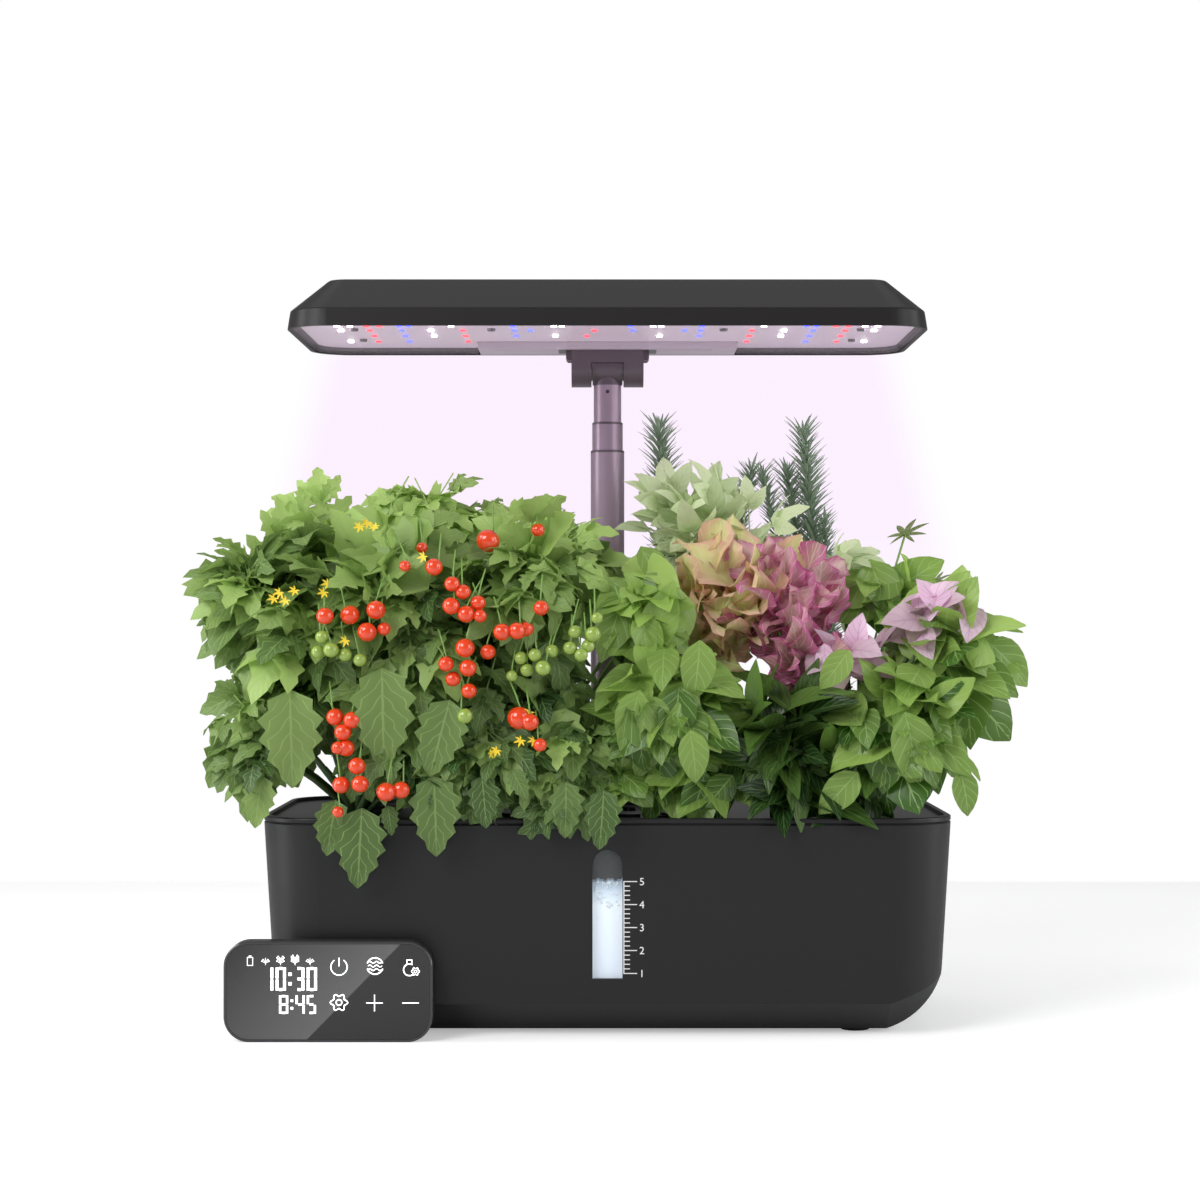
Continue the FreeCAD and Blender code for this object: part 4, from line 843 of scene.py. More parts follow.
RIPE_FRUIT = (
    (350, 615, 10), (376, 610, 10), (367, 632, 10), (384, 629, 7), (325, 616, 9), (434, 567, 9), (452, 584, 8),
    (463, 592, 8), (451, 606, 9), (478, 603, 8), (466, 614, 9), (480, 616, 7), (502, 632, 9), (517, 631, 9),
    (526, 629, 8), (541, 608, 8), (465, 648, 10), (488, 652, 8), (446, 664, 8), (468, 668, 9), (453, 679, 8),
    (469, 691, 8), (488, 541, 12), (519, 718, 12), (530, 722, 9), (540, 745, 7), (335, 717, 9), (352, 720, 9),
    (343, 732, 9), (346, 748, 9), (338, 748, 7), (357, 766, 9), (341, 785, 9), (360, 784, 9), (386, 792, 10),
    (401, 790, 9), (338, 812, 6), (422, 548, 6), (538, 530, 7), (405, 566, 6),
)
UNRIPE_FRUIT = (
    (322, 637, 7), (331, 650, 8), (318, 652, 7), (345, 655, 7), (521, 658, 7), (535, 655, 7), (543, 668, 8),
    (527, 670, 7), (552, 651, 7), (575, 632, 7), (570, 648, 7), (581, 655, 7), (593, 634, 8), (597, 618, 6),
    (465, 716, 8), (588, 646, 7), (512, 676, 6), (360, 660, 7),
)
FLOWERS = (
    (280, 592), (286, 600), (274, 598), (295, 590), (328, 583), (324, 592), (368, 522), (376, 526), (360, 526),
    (497, 750), (490, 754), (521, 740), (534, 740), (346, 640), (530, 712), (424, 556),
)
FRUIT_DEPTH = -0.120
FRUIT_BACK_DEPTH = -0.085
FRUIT_BACK_ROW = 560
ROSEMARY_SPRIGS = (
    ((657, 524), (659, 429), 0.058, 1.0),
    ((752, 520), (752, 470), 0.060, 0.6),
    ((740, 520), (736, 488), 0.050, 0.45),
    ((764, 520), (762, 474), 0.055, 0.5),
    ((806, 552), (803, 433), 0.062, 1.0),
    ((792, 552), (786, 470), 0.066, 0.7),
    ((826, 552), (824, 520), 0.060, 0.4),
)
NEEDLES_PER_METRE = 1700
PALMATE_LEAVES = ((905, 535, 30), (545, 510, 26), (530, 508, 22), (936, 582, 20), (560, 520, 20))


class Plants:
    """All the plants, which ride on the pods."""

    BODY = "pods"

    def __init__(self) -> None:
        self.tree, self.inputs = scatter_tree()
        self.rng = np.random.default_rng(7)
        self.stems = Shape.empty()
        self.dark_stems = Shape.empty()

    def scatter(self, name: str, shapes: list[Shape], material: bpy.types.Material) -> Scatter:
        """A new empty scatter."""
        return Scatter(name, shapes, material, [])

    def finish(self, leaves: Scatter, slot: Slot) -> bpy.types.Object:
        """Builds a scatter and puts it on the pods."""
        thing = leaves.build(self.tree, self.inputs)
        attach(thing, self.BODY)
        return thing

    def single_leaves(self, leaves: Scatter, table: Sequence[Hanging]) -> None:
        """Adds leaves that are placed one by one."""
        for leaf in table:
            base = photo_point(*leaf.base, leaf.depth)
            tip = photo_point(*leaf.tip, leaf.depth - 0.004)
            leaves.put(base, tip - base, Vector((0.1, -1.0, 0.25)), (tip - base).length, leaf.tint, 1)

    def rear_pod(self, x: float) -> Vector:
        """The top of the rear pod that is nearest to a place across the width."""
        column = min(POD_COLUMNS, key=lambda place: abs(place - x))
        return Vector((column, POD_ROWS[-1], DECK_TOP + STEM_START))

    def grow_stems(self, puffs: Sequence[Puff], pods: Sequence[tuple[float, float]], dark: bool, width: float) -> None:
        """Grows stems from the pods to the puffs they carry."""
        target = self.dark_stems if dark else self.stems
        for puff in puffs:
            centre, radii = puff.centre(), puff.radii()
            pod = min(pods, key=lambda p: math.hypot(p[0] - centre.x, p[1] - centre.y))
            for _ in range(4):
                spread = Vector(self.rng.uniform(-1, 1, size=3))
                start = Vector((pod[0] + 0.005 * spread.x, pod[1] + 0.005 * spread.y, DECK_TOP + STEM_START))
                end = centre + Vector((spread.x * radii.x, spread.y * radii.y, spread.z * radii.z)) * 0.6
                path = curve_between(start, end, 0.16)
                add_tube(target, path, [width * (1.0 - 0.1 * k) for k in range(len(path))])

    def tomatoes(self) -> None:
        """Tomato plants: feathered leaves, trusses of fruit and yellow flowers."""
        look = LeafLook((0.03, 0.085, 0.016), (0.42, 0.6, 0.17), (0.36, 0.54, 0.18), 6.0, 0.5)
        leaflet = Blade(0.66, 0.72, 4, 0.42, 0.3, 0.3, 0.02, 9, 1)
        other = Blade(0.74, 0.68, 3, 0.36, 0.2, 0.45, 0.03, 7, 1)
        single = Blade(0.66, 0.7, 5, 0.26, 0.32, 0.2, 0.03, 11, 2)
        shapes = [compound_leaf(leaflet, 3, 1.15), single.shape(), compound_leaf(other, 2, 1.0),
                  compound_leaf(other, 3, 1.3)]
        leaves = self.scatter("tomato_leaves", shapes, leaf_material("tomato_leaf", look))
        for puff in TOMATO_PUFFS:
            fill_puff(leaves, puff, self.rng, clear=RIPE_FRUIT + UNRIPE_FRUIT)
        self.single_leaves(leaves, HANGING_LEAVES)
        self.finish(leaves, Slot.TOMATO)
        self.fruit("tomatoes_ripe", RIPE_FRUIT, FRUIT_RED)
        self.fruit("tomatoes_unripe", UNRIPE_FRUIT, FRUIT_GREEN)
        self.flowers()

    def fruit(self, name: str, table: Sequence[tuple[int, int, int]], finish: Finish) -> None:
        """Hangs fruit on short stalks, each with a green calyx."""
        fruits = self.scatter(name, [ball(14, 9, 0.95)], plain_material(name, finish))
        star = palmate_leaf(Blade(0.26, 0.6, fold=0.2, droop=0.35, rows=4, halves=1), 5)
        crowns = self.scatter(name + "_calyx", [star], plain_material(name + "_calyx", STEM_GREEN))
        for x, y, half in table:
            depth = FRUIT_DEPTH - 0.004 + 0.008 * self.rng.random()
            if y < FRUIT_BACK_ROW:
                depth = FRUIT_BACK_DEPTH
            centre = photo_point(x, y, depth)
            size = 2.0 * photo_length(half, depth)
            tilt = Vector((0.3 * self.rng.normal(), 0.2 * self.rng.normal(), 1.0)).normalized()
            fruits.put(centre, tilt.orthogonal(), tilt, size, 0.5)
            top = centre + tilt * size * 0.44
            crowns.put(top, tilt.orthogonal(), tilt, size * 0.42, 0.5)
            path = curve_between(top, top + Vector((0.004 * self.rng.normal(), 0.012, 0.016)), 0.1, 4)
            add_tube(self.stems, path, [0.0006] * 4, 4)
        self.finish(fruits, Slot.TOMATO)
        self.finish(crowns, Slot.TOMATO)

    def flowers(self) -> None:
        """Small yellow flowers with five petals."""
        petals = palmate_leaf(Blade(0.34, 0.7, fold=0.1, droop=-0.2, rows=4, halves=1), 6)
        blooms = self.scatter("tomato_flowers", [petals], plain_material("flower", FLOWER_YELLOW))
        for x, y in FLOWERS:
            centre = photo_point(x, y, FRUIT_DEPTH)
            facing = Vector((0.4 * self.rng.normal(), -1.0, 0.4 * self.rng.normal()))
            blooms.put(centre, facing.orthogonal(), facing, 0.0046, 0.5)
        self.finish(blooms, Slot.TOMATO)

    def basils(self) -> None:
        """Basil: broad cupped leaves, and the purple tops on the right."""
        forms = [Blade(0.62, 0.78, fold=0.3, droop=0.25, ruffle=0.03, rows=8, halves=2).shape(),
                 Blade(0.56, 0.8, fold=0.2, droop=0.4, ruffle=0.02, rows=8, halves=2).shape(),
                 Blade(0.7, 0.75, fold=-0.25, droop=0.3, ruffle=0.03, rows=8, halves=2).shape()]
        green = LeafLook((0.045, 0.13, 0.012), (0.42, 0.62, 0.14), (0.42, 0.62, 0.22), 5.0, 0.4)
        leaves = self.scatter("basil_leaves", forms, leaf_material("basil_leaf", green))
        for puff in BASIL_PUFFS:
            fill_puff(leaves, puff, self.rng)
        self.single_leaves(leaves, BROAD_LEAVES)
        self.finish(leaves, Slot.BASIL)
        purple = LeafLook((0.3, 0.26, 0.16), (0.95, 0.68, 0.88), (0.6, 0.3, 0.5), 5.0, 0.4)
        tops = self.scatter("basil_tops", forms, leaf_material("basil_top", purple))
        for puff in PURPLE_PUFFS:
            fill_puff(tops, puff, self.rng, upright=0.3)
        self.finish(tops, Slot.BASIL)

    def lettuces(self) -> None:
        """Loose lettuce: ruffled leaves, pale yellow-green on the left and pink-red on the right."""
        forms = [Blade(0.62, 1.15, 5, 0.2, 0.3, 0.15, 0.12, 11, 3).shape(),
                 Blade(0.5, 1.25, 6, 0.26, 0.2, -0.1, 0.14, 11, 3).shape()]
        pale = LeafLook((0.34, 0.42, 0.07), (0.82, 0.84, 0.36), (0.88, 0.88, 0.6), 7.0, 0.4, (0.85, 0.5, 0.4))
        red = LeafLook((0.3, 0.16, 0.1), (0.88, 0.62, 0.6), (0.9, 0.75, 0.68), 7.0, 0.4, (0.6, 0.13, 0.34))
        for name, look, puffs in (("lettuce_pale", pale, LETTUCE_PUFFS), ("lettuce_red", red, RED_LETTUCE_PUFFS)):
            leaves = self.scatter(name, forms, leaf_material(name + "_leaf", look))
            for puff in puffs:
                fill_puff(leaves, puff, self.rng, upright=0.7)
            self.finish(leaves, Slot.LETTUCE)

    def lances(self) -> None:
        """Dark narrow leaves beside the basil."""
        forms = [Blade(0.3, 0.9, fold=0.5, droop=0.25, rows=8, halves=1).shape(),
                 Blade(0.36, 0.85, fold=0.35, droop=0.5, rows=8, halves=1).shape()]
        look = LeafLook((0.012, 0.04, 0.008), (0.16, 0.3, 0.05), (0.2, 0.32, 0.1), 8.0, 0.32)
        leaves = self.scatter("lance_leaves", forms, leaf_material("lance_leaf", look))
        for puff in LANCE_PUFFS:
            fill_puff(leaves, puff, self.rng, upright=0.4)
        self.finish(leaves, Slot.BASIL)

    def pale_leaves(self) -> None:
        """Pale lobed leaves close under the lamp, and fingered leaves on long stalks."""
        look = LeafLook((0.2, 0.32, 0.1), (0.7, 0.8, 0.5), (0.6, 0.72, 0.4), 5.0, 0.5)
        leaflet = Blade(0.6, 0.7, 3, 0.34, 0.2, 0.3, 0.02, 6, 1)
        leaves = self.scatter("pale_leaves", [compound_leaf(leaflet, 2, 1.1)], leaf_material("pale_leaf", look))
        for puff in PALE_PUFFS:
            fill_puff(leaves, puff, self.rng, upright=0.35)
        self.finish(leaves, Slot.SAGE)
        finger = Blade(0.24, 0.75, fold=0.3, droop=0.12, rows=6, halves=1)
        dull = LeafLook((0.12, 0.18, 0.05), (0.4, 0.48, 0.2), (0.42, 0.5, 0.24), 6.0, 0.5)
        stars = self.scatter("fingered_leaves", [palmate_leaf(finger, 7)], leaf_material("fingered_leaf", dull))
        for x, y, half in PALMATE_LEAVES:
            centre = photo_point(x, y, 0.02)
            stars.put(centre, Vector((0.2, -0.6, 0.5)), Vector((0.1, -0.45, 0.9)), photo_length(half, 0.02), 0.5)
            root = self.rear_pod(centre.x)
            add_tube(self.stems, curve_between(root, centre, 0.1), [0.0009] * 6, 4)
        self.finish(stars, Slot.SAGE)

    def rosemary(self) -> None:
        """Rosemary: upright stems with needles all round."""
        needle = Blade(0.13, 0.6, fold=0.6, droop=0.06, rows=4, halves=1)
        look = LeafLook((0.12, 0.2, 0.13), (0.52, 0.64, 0.48), (0.5, 0.6, 0.46), 1.0, 0.5)
        needles = self.scatter("rosemary_needles", [needle.shape()], leaf_material("rosemary_needle", look))
        for (x0, y0), (x1, y1), depth, share in ROSEMARY_SPRIGS:
            foot = photo_point(x0, y0, depth)
            start = self.rear_pod(foot.x)
            tip = photo_point(x1, y1, depth)
            path = curve_between(start, tip, 0.03, 12)
            add_tube(self.dark_stems, path, [0.0016 - 0.0001 * k for k in range(len(path))])
            length = (tip - start).length
            for k in range(int(length * NEEDLES_PER_METRE)):
                t = 0.25 + 0.75 * k / (length * NEEDLES_PER_METRE)
                at = start.lerp(tip, t)
                turn = k * 2.399
                rise = 0.55 + 0.6 * t
                along = Vector((math.cos(turn), math.sin(turn), rise + 0.15 * self.rng.normal()))
                size = 0.024 * (0.55 + 0.45 * share) * (1.05 - 0.35 * t) * (0.8 + 0.4 * self.rng.random())
                needles.put(at, along, Vector((0, 0, 1.0)), size, 0.25 + 0.5 * self.rng.random())
        self.finish(needles, Slot.ROSEMARY)

    def build(self) -> None:
        """Makes every plant."""
        pods = [(x, y) for y in POD_ROWS for x in POD_COLUMNS]
        self.grow_stems(TOMATO_PUFFS, pods[:2] + pods[4:6] + pods[8:9], True, 0.0026)
        self.grow_stems(BASIL_PUFFS, pods[2:4], False, 0.0022)
        self.grow_stems(LETTUCE_PUFFS + RED_LETTUCE_PUFFS, pods[6:8], False, 0.003)
        self.grow_stems(LANCE_PUFFS + PURPLE_PUFFS, pods[2:4], True, 0.0018)
        self.grow_stems(PALE_PUFFS, pods[9:10], False, 0.0018)
        self.tomatoes()
        self.basils()
        self.lettuces()
        self.lances()
        self.pale_leaves()
        self.rosemary()
        for name, shape, finish in (("green_stems", self.stems, STEM_GREEN), ("dark_stems", self.dark_stems, STEM_DARK)):
            stems = shape.to_object(name, plain_material(name, finish))
            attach(stems, self.BODY)
            if name == "green_stems":
                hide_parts("basil_plants", "lettuce_plants", "sage_plant")
            else:
                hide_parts("tomato_plants", "rosemary_plants")


# Flat marks on the tank and the control pad

@dataclass(frozen=True)
class Surface:
    """A flat place that marks are drawn on.

    Attributes:
        origin: The place of the drawing's zero point.
        right: Direction of the drawing's x.
        up: Direction of the drawing's y.
    """

    origin: Vector
    right: Vector
    up: Vector

    def at(self, x: float, y: float, lift: float) -> Vector:
        """The place of a point of the drawing, at a height above the surface."""
        return self.origin + x * self.right + y * self.up + lift * self.right.cross(self.up)


def add_plate(made: Shape, surface: Surface, outline: Sequence[tuple[float, float]], thick: float = LABEL_LIFT) -> None:
    """Adds a thin closed plate with a convex anticlockwise outline."""
    count = len(outline)
    low = [surface.at(x, y, 0.00002) for x, y in outline]
    high = [surface.at(x, y, thick) for x, y in outline]
    faces = [tuple(range(count, 2 * count)), tuple(reversed(range(count)))]
    faces += [(k, (k + 1) % count, count + (k + 1) % count, count + k) for k in range(count)]
    made.add(low + high, faces)


def add_bar(made: Shape, surface: Surface, x0: float, y0: float, x1: float, y1: float) -> None:
    """Adds an upright rectangle."""
    add_plate(made, surface, [(x0, y0), (x1, y0), (x1, y1), (x0, y1)])


def add_stroke(made: Shape, surface: Surface, points: Sequence[tuple[float, float]], width: float) -> None:
    """Adds a line of even width through points, one thin plate for each stretch."""
    for (x0, y0), (x1, y1) in zip(points, points[1:]):
        length = math.hypot(x1 - x0, y1 - y0)
        if length < 1e-9:
            continue
        ax, ay = (x1 - x0) / length, (y1 - y0) / length
        half = width / 2
        x0e, y0e, x1e, y1e = x0 - ax * half * 0.4, y0 - ay * half * 0.4, x1 + ax * half * 0.4, y1 + ay * half * 0.4
        add_plate(made, surface, [(x0e + ay * half, y0e - ax * half), (x1e + ay * half, y1e - ax * half),
                                  (x1e - ay * half, y1e + ax * half), (x0e - ay * half, y0e + ax * half)])


def arc_points(x: float, y: float, radius: float, start: float, end: float, steps: int = 20) -> list:
    """Points of an arc between two angles in degrees."""
    return [
        (x + radius * math.cos(math.radians(start + (end - start) * k / steps)),
         y + radius * math.sin(math.radians(start + (end - start) * k / steps)))
        for k in range(steps + 1)
    ]


def text_shape(number: str, size: float, surface: Surface, x: float, y: float) -> Shape:
    """A flat plain number in the built-in font.

    Args:
        number: The number.
        size: Height of a line in metres.
        surface: The surface that it is drawn on.
        x: Left end.
        y: Middle of the digits' height.

    Returns:
        The digits as a shape.
    """
    curve = bpy.data.curves.new("digits", "FONT")
    curve.body = number
    curve.size = size
    curve.extrude = 0.00004
    holder = bpy.data.objects.new("digits", curve)
    bpy.context.scene.collection.objects.link(holder)
    graph = bpy.context.evaluated_depsgraph_get()
    mesh = bpy.data.meshes.new_from_object(holder.evaluated_get(graph))
    drop = size * 0.35
    made = Shape.empty()
    points = [surface.at(x + v.co.x, y + v.co.y - drop, 0.00006 + v.co.z) for v in mesh.vertices]
    made.add(points, [tuple(p.vertices) for p in mesh.polygons])
    bpy.data.objects.remove(holder)
    bpy.data.meshes.remove(mesh)
    return made


SEGMENTS = {
    "0": "abcdef", "1": "bc", "2": "abged", "3": "abgcd", "4": "fgbc", "5": "afgcd", "6": "afgedc", "7": "abc",
    "8": "abcdefg", "9": "abcdfg",
}


def add_digit(made: Shape, surface: Surface, digit: str, x: float, y: float, width: float, height: float) -> None:
    """Adds a seven-segment digit, from its lower left corner."""
    bar = height * 0.12
    gap = height * 0.02
    middle = y + height / 2
    right, top = x + width, y + height
    pieces = {
        "a": (x + bar + gap, top - bar, right - bar - gap, top),
        "d": (x + bar + gap, y, right - bar - gap, y + bar),
        "g": (x + bar + gap, middle - bar / 2, right - bar - gap, middle + bar / 2),
        "f": (x, middle + gap, x + bar, top - gap),
        "e": (x, y + gap, x + bar, middle - gap),
        "b": (right - bar, middle + gap, right, top - gap),
        "c": (right - bar, y + gap, right, middle - gap),
    }
    for name in SEGMENTS[digit]:
        add_bar(made, surface, *pieces[name])


class TankMarks:
    """The level scale beside the window, the water behind it and its bubbles."""

    LINE_X = 0.0097
    MINOR_X = 0.0133
    MAJOR_X = 0.0175
    TEXT_X = 0.0188
    TOP_MARK = 0.0933
    MARK_PITCH = 0.01373
    LINE_WIDTH = 0.00055
    TEXT_SIZE = 0.0063
    MAJORS = 5
    MINORS = 5
    WATER_TOP = 0.0928
    WINDOW_BOTTOM = 0.0352

    def surface(self) -> Surface:
        """The tank's leaning front wall, with the drawing's zero on the table line at the middle."""
        lean = math.atan(TANK_DRAFT)
        up = Vector((0.0, -math.sin(lean), math.cos(lean)))
        foot = Vector((0.0, TANK_FRONT_AT_RIM + TANK_DRAFT * TANK_RIM_Z, 0.0))
        return Surface(foot, Vector((1.0, 0.0, 0.0)), up)

    def scale(self) -> bpy.types.Object:
        """The ticks, the upright line and plain numbers from one upwards."""
        surface = self.surface()
        made = Shape.empty()
        low = self.TOP_MARK - self.MARK_PITCH * (self.MAJORS - 1)
        half = self.LINE_WIDTH / 2
        add_bar(made, surface, self.LINE_X - half, low - half, self.LINE_X + half, self.TOP_MARK + half)
        ticks = (self.MAJORS - 1) * self.MINORS
        for k in range(ticks + 1):
            height = self.TOP_MARK - k * self.MARK_PITCH / self.MINORS
            reach = self.MAJOR_X if k % self.MINORS == 0 else self.MINOR_X
            add_bar(made, surface, self.LINE_X + half, height - half, reach, height + half)
        for k in range(self.MAJORS):
            height = self.TOP_MARK - k * self.MARK_PITCH
            made.join(text_shape(str(self.MAJORS - k), self.TEXT_SIZE, surface, self.TEXT_X, height))
        return made.to_object("level_scale", plain_material("scale_print", PRINT_WHITE), smooth=False)

    def water(self) -> bpy.types.Object:
        """Water behind the window, with a wavy top."""
        columns, rows = 25, 3
        half_x = 0.0092
        made = Shape.empty()
        front = []
        for r in range(rows):
            share = r / (rows - 1)
            for c in range(columns):
                x = -half_x + 2 * half_x * c / (columns - 1)
                wave = 0.0007 * math.sin(x * 900.0) + 0.0005 * math.sin(x * 2100.0 + 1.0)
                z = self.WINDOW_BOTTOM - 0.001 + share * (self.WATER_TOP + wave - self.WINDOW_BOTTOM + 0.001)
                front.append((x, TANK_FRONT_AT_RIM + TANK_DRAFT * (TANK_RIM_Z - z) + 0.0052, z))
        back = [(x, y + 0.012, z) for x, y, z in front]
        count = len(front)
        faces = grid_faces(rows, columns)
        faces += [tuple(count + i for i in reversed(face)) for face in grid_faces(rows, columns)]
        rim = list(range(columns)) + [columns * (r + 1) - 1 for r in range(1, rows)]
        rim += [columns * (rows - 1) + c for c in range(columns - 2, -1, -1)] + [columns]
        faces += [(rim[k], count + rim[k], count + rim[(k + 1) % len(rim)], rim[(k + 1) % len(rim)]) for k in range(len(rim))]
        made.add(front + back, faces)
        return made.to_object("tank_water", self.water_material(), smooth=False)

    def water_material(self) -> bpy.types.Material:
        """Pale blue water with painted light: it glows faintly, grows lighter upwards and takes a painted shade just
        under its surface.
        """
        material, shader = new_material("water")
        nodes, links = material.node_tree.nodes, material.node_tree.links
        place = nodes.new("ShaderNodeTexCoord")
        split = nodes.new("ShaderNodeSeparateXYZ")
        links.new(place.outputs["Object"], split.inputs[0])
        height = nodes.new("ShaderNodeMapRange")
        height.inputs["From Min"].default_value = self.WINDOW_BOTTOM
        height.inputs["From Max"].default_value = self.WATER_TOP
        links.new(split.outputs["Z"], height.inputs["Value"])
        ramp = nodes.new("ShaderNodeValToRGB")
        # Painted light and shade: the colour grows lighter upwards, then a painted shade darkens it just under the
        # surface.
        stops = ((0.0, (0.62, 0.7, 0.8)), (0.45, (0.68, 0.75, 0.84)), (0.75, (0.72, 0.8, 0.88)),
                 (0.9, (0.5, 0.6, 0.7)), (1.0, (0.25, 0.33, 0.42)))
        ramp.color_ramp.elements[0].color = (*stops[0][1], 1.0)
        ramp.color_ramp.elements[1].color = (*stops[-1][1], 1.0)
        for place_at, colour in stops[1:-1]:
            ramp.color_ramp.elements.new(place_at).color = (*colour, 1.0)
        links.new(height.outputs["Result"], ramp.inputs["Fac"])
        links.new(ramp.outputs["Color"], socket(shader, "Base Color"))
        links.new(ramp.outputs["Color"], socket(shader, "Emission Color"))
        # Painted light: the water glows in its own colour though it is no lamp.
        socket(shader, "Emission Strength").default_value = 0.45
        socket(shader, "Roughness").default_value = 0.15
        return material

    def bubbles(self, tree: bpy.types.NodeTree, inputs: dict[str, str]) -> bpy.types.Object:
        """Small bubbles under the water's surface."""
        rng = np.random.default_rng(11)
        drops = Scatter("water_bubbles", [ball(8, 6)], plain_material("bubble", BUBBLE), [])
        for _ in range(70):
            fall = rng.random() ** 1.8
            z = self.WATER_TOP - 0.0006 - 0.021 * fall
            x = rng.uniform(-0.0082, 0.0082)
            y = TANK_FRONT_AT_RIM + TANK_DRAFT * (TANK_RIM_Z - z) + 0.0049
            drops.put(Vector((x, y, z)), Vector((0, 1, 0)), Vector((0, 0, 1)), 0.0005 + 0.0014 * rng.random() ** 2, 0.5)
        return drops.build(tree, inputs)

    def build(self, tree: bpy.types.NodeTree, inputs: dict[str, str]) -> None:
        """Makes the marks and the water, which ride on the tank."""
        for thing, slot in ((self.scale(), Slot.LABEL), (self.water(), Slot.WATER), (self.bubbles(tree, inputs), Slot.WATER)):
            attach(thing, "tank")


class PadMarks:
    """The control pad's display and touch symbols."""

    STROKE = 0.0006
    THIN = 0.00032

    def __init__(self) -> None:
        self.surface = Surface(Vector((0.0, PAD_FACE_Y + 0.0001, 0.0)), Vector((1, 0, 0)), Vector((0, 0, 1)))
        self.made = Shape.empty()

    def place(self, x: float, y: float) -> tuple[float, float]:
        """The drawing's place of a point of the photograph."""
        spot = photo_point(x, y, PAD_FACE_Y)
        return spot.x, spot.z

    def stroke(self, points: Sequence[tuple[float, float]], width: float | None = None) -> None:
        """Draws one line."""
        add_stroke(self.made, self.surface, points, width or self.STROKE)

    def clock(self, text: str, left: float, top: float, right: float, bottom: float) -> None:
        """Draws a time in seven-segment digits inside a box of the photograph."""
        x0, y1 = self.place(left, top)
        x1, y0 = self.place(right, bottom)
        colon = 0.35
        unit = (x1 - x0) / (sum(colon if c == ":" else 1.0 for c in text) + 0.22 * (len(text) - 1))
        x = x0
        for mark in text:
            if mark == ":":
                dot = (y1 - y0) * 0.07
                middle = x + unit * colon / 2
                for share in (0.3, 0.7):
                    y = y0 + (y1 - y0) * share
                    add_bar(self.made, self.surface, middle - dot, y - dot, middle + dot, y + dot)
                x += unit * (colon + 0.22)
            else:
                add_digit(self.made, self.surface, mark, x, y0, unit, y1 - y0)
                x += unit * 1.22

    def power(self, x: float, y: float, radius: float) -> None:
        """A broken ring and an upright stroke."""
        self.stroke(arc_points(x, y, radius, 125, 415))
        self.stroke([(x, y + 0.1 * radius), (x, y + 1.12 * radius)])

    def waves(self, x: float, y: float, radius: float) -> None:
        """A ring with three wavy lines, for the water pump."""
        self.stroke(arc_points(x, y, radius, 20, 160))
        self.stroke(arc_points(x, y, radius, 200, 340))
        for row in (-0.45, 0.0, 0.45):
            line = [(x + radius * (-0.85 + 1.7 * k / 16), y + radius * (row + 0.12 * math.sin(k * 0.8)))
                    for k in range(17)]
            self.stroke(line, self.STROKE * 0.8)

    def gear(self, x: float, y: float, radius: float, teeth: int = 6, width: float | None = None) -> None:
        """A toothed ring round a small ring."""
        steps = teeth * 8
        line = [
            (x + radius * (0.86 + 0.16 * math.cos(teeth * math.tau * k / steps)) * math.cos(math.tau * k / steps),
             y + radius * (0.86 + 0.16 * math.cos(teeth * math.tau * k / steps)) * math.sin(math.tau * k / steps))
            for k in range(steps + 1)
        ]
        self.stroke(line, width)
        self.stroke(arc_points(x, y, radius * 0.34, 0, 360, 12), width)

    def bulb(self, x: float, y: float, radius: float) -> None:
        """A light bulb with a small gear beside it."""
        self.stroke(arc_points(x - 0.2 * radius, y - 0.1 * radius, radius * 0.72, 60, 360 - 40, 16))
        self.stroke([(x - 0.5 * radius, y + 0.62 * radius), (x - 0.5 * radius, y + 1.1 * radius),
                     (x + 0.1 * radius, y + 1.1 * radius), (x + 0.1 * radius, y + 0.62 * radius)])
        self.gear(x + 0.55 * radius, y - 0.3 * radius, radius * 0.5, 6, self.THIN)

    def sprout(self, x: float, y: float, radius: float, leaves: int) -> None:
        """A small plant symbol: a stem with pairs of leaves."""
        self.stroke([(x, y - radius), (x, y + radius * 0.4)], self.THIN)
        for k in range(leaves):
            base = y - radius * 0.6 + 1.3 * radius * k / max(1, leaves)
            for side in (-1, 1):
                line = [(x, base), (x + side * radius * 0.8, base + radius * 0.35), (x + side * radius * 0.45, base + radius * 0.75),
                        (x, base)]
                self.stroke(line, self.THIN)

    def build(self) -> None:
        """Makes all the marks as one lit piece on the pad."""
        self.clock("10:30", 263, 967, 317, 991)
        self.clock("8:45", 279, 995, 316, 1014)
        battery = self.place(250, 961)
        r = 0.0026
        self.stroke([(battery[0] - r * 0.6, battery[1] - r), (battery[0] + r * 0.6, battery[1] - r),
                     (battery[0] + r * 0.6, battery[1] + r * 0.8), (battery[0] - r * 0.6, battery[1] + r * 0.8),
                     (battery[0] - r * 0.6, battery[1] - r)], self.THIN * 1.3)
        self.stroke([(battery[0] - r * 0.25, battery[1] + r * 1.1), (battery[0] + r * 0.25, battery[1] + r * 1.1)])
        for k, x in enumerate((265.5, 280.5, 295, 310)):
            self.sprout(*self.place(x, 960), 0.0029, 1 + k % 3)
        radius = 0.0048
        self.power(*self.place(339, 967), radius)
        self.waves(*self.place(375, 966), radius)
        self.bulb(*self.place(411, 969), radius)
        self.gear(*self.place(339, 1002.5), radius * 1.05)
        plus, minus = self.place(374.5, 1003), self.place(410.5, 1003)
        self.stroke([(plus[0] - radius, plus[1]), (plus[0] + radius, plus[1])])
        self.stroke([(plus[0], plus[1] - radius), (plus[0], plus[1] + radius)])
        self.stroke([(minus[0] - radius, minus[1]), (minus[0] + radius, minus[1])])
        marks = self.made.to_object("pad_marks", plain_material("pad_light", LIT_WHITE), smooth=False)
        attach(marks, "control_pad")


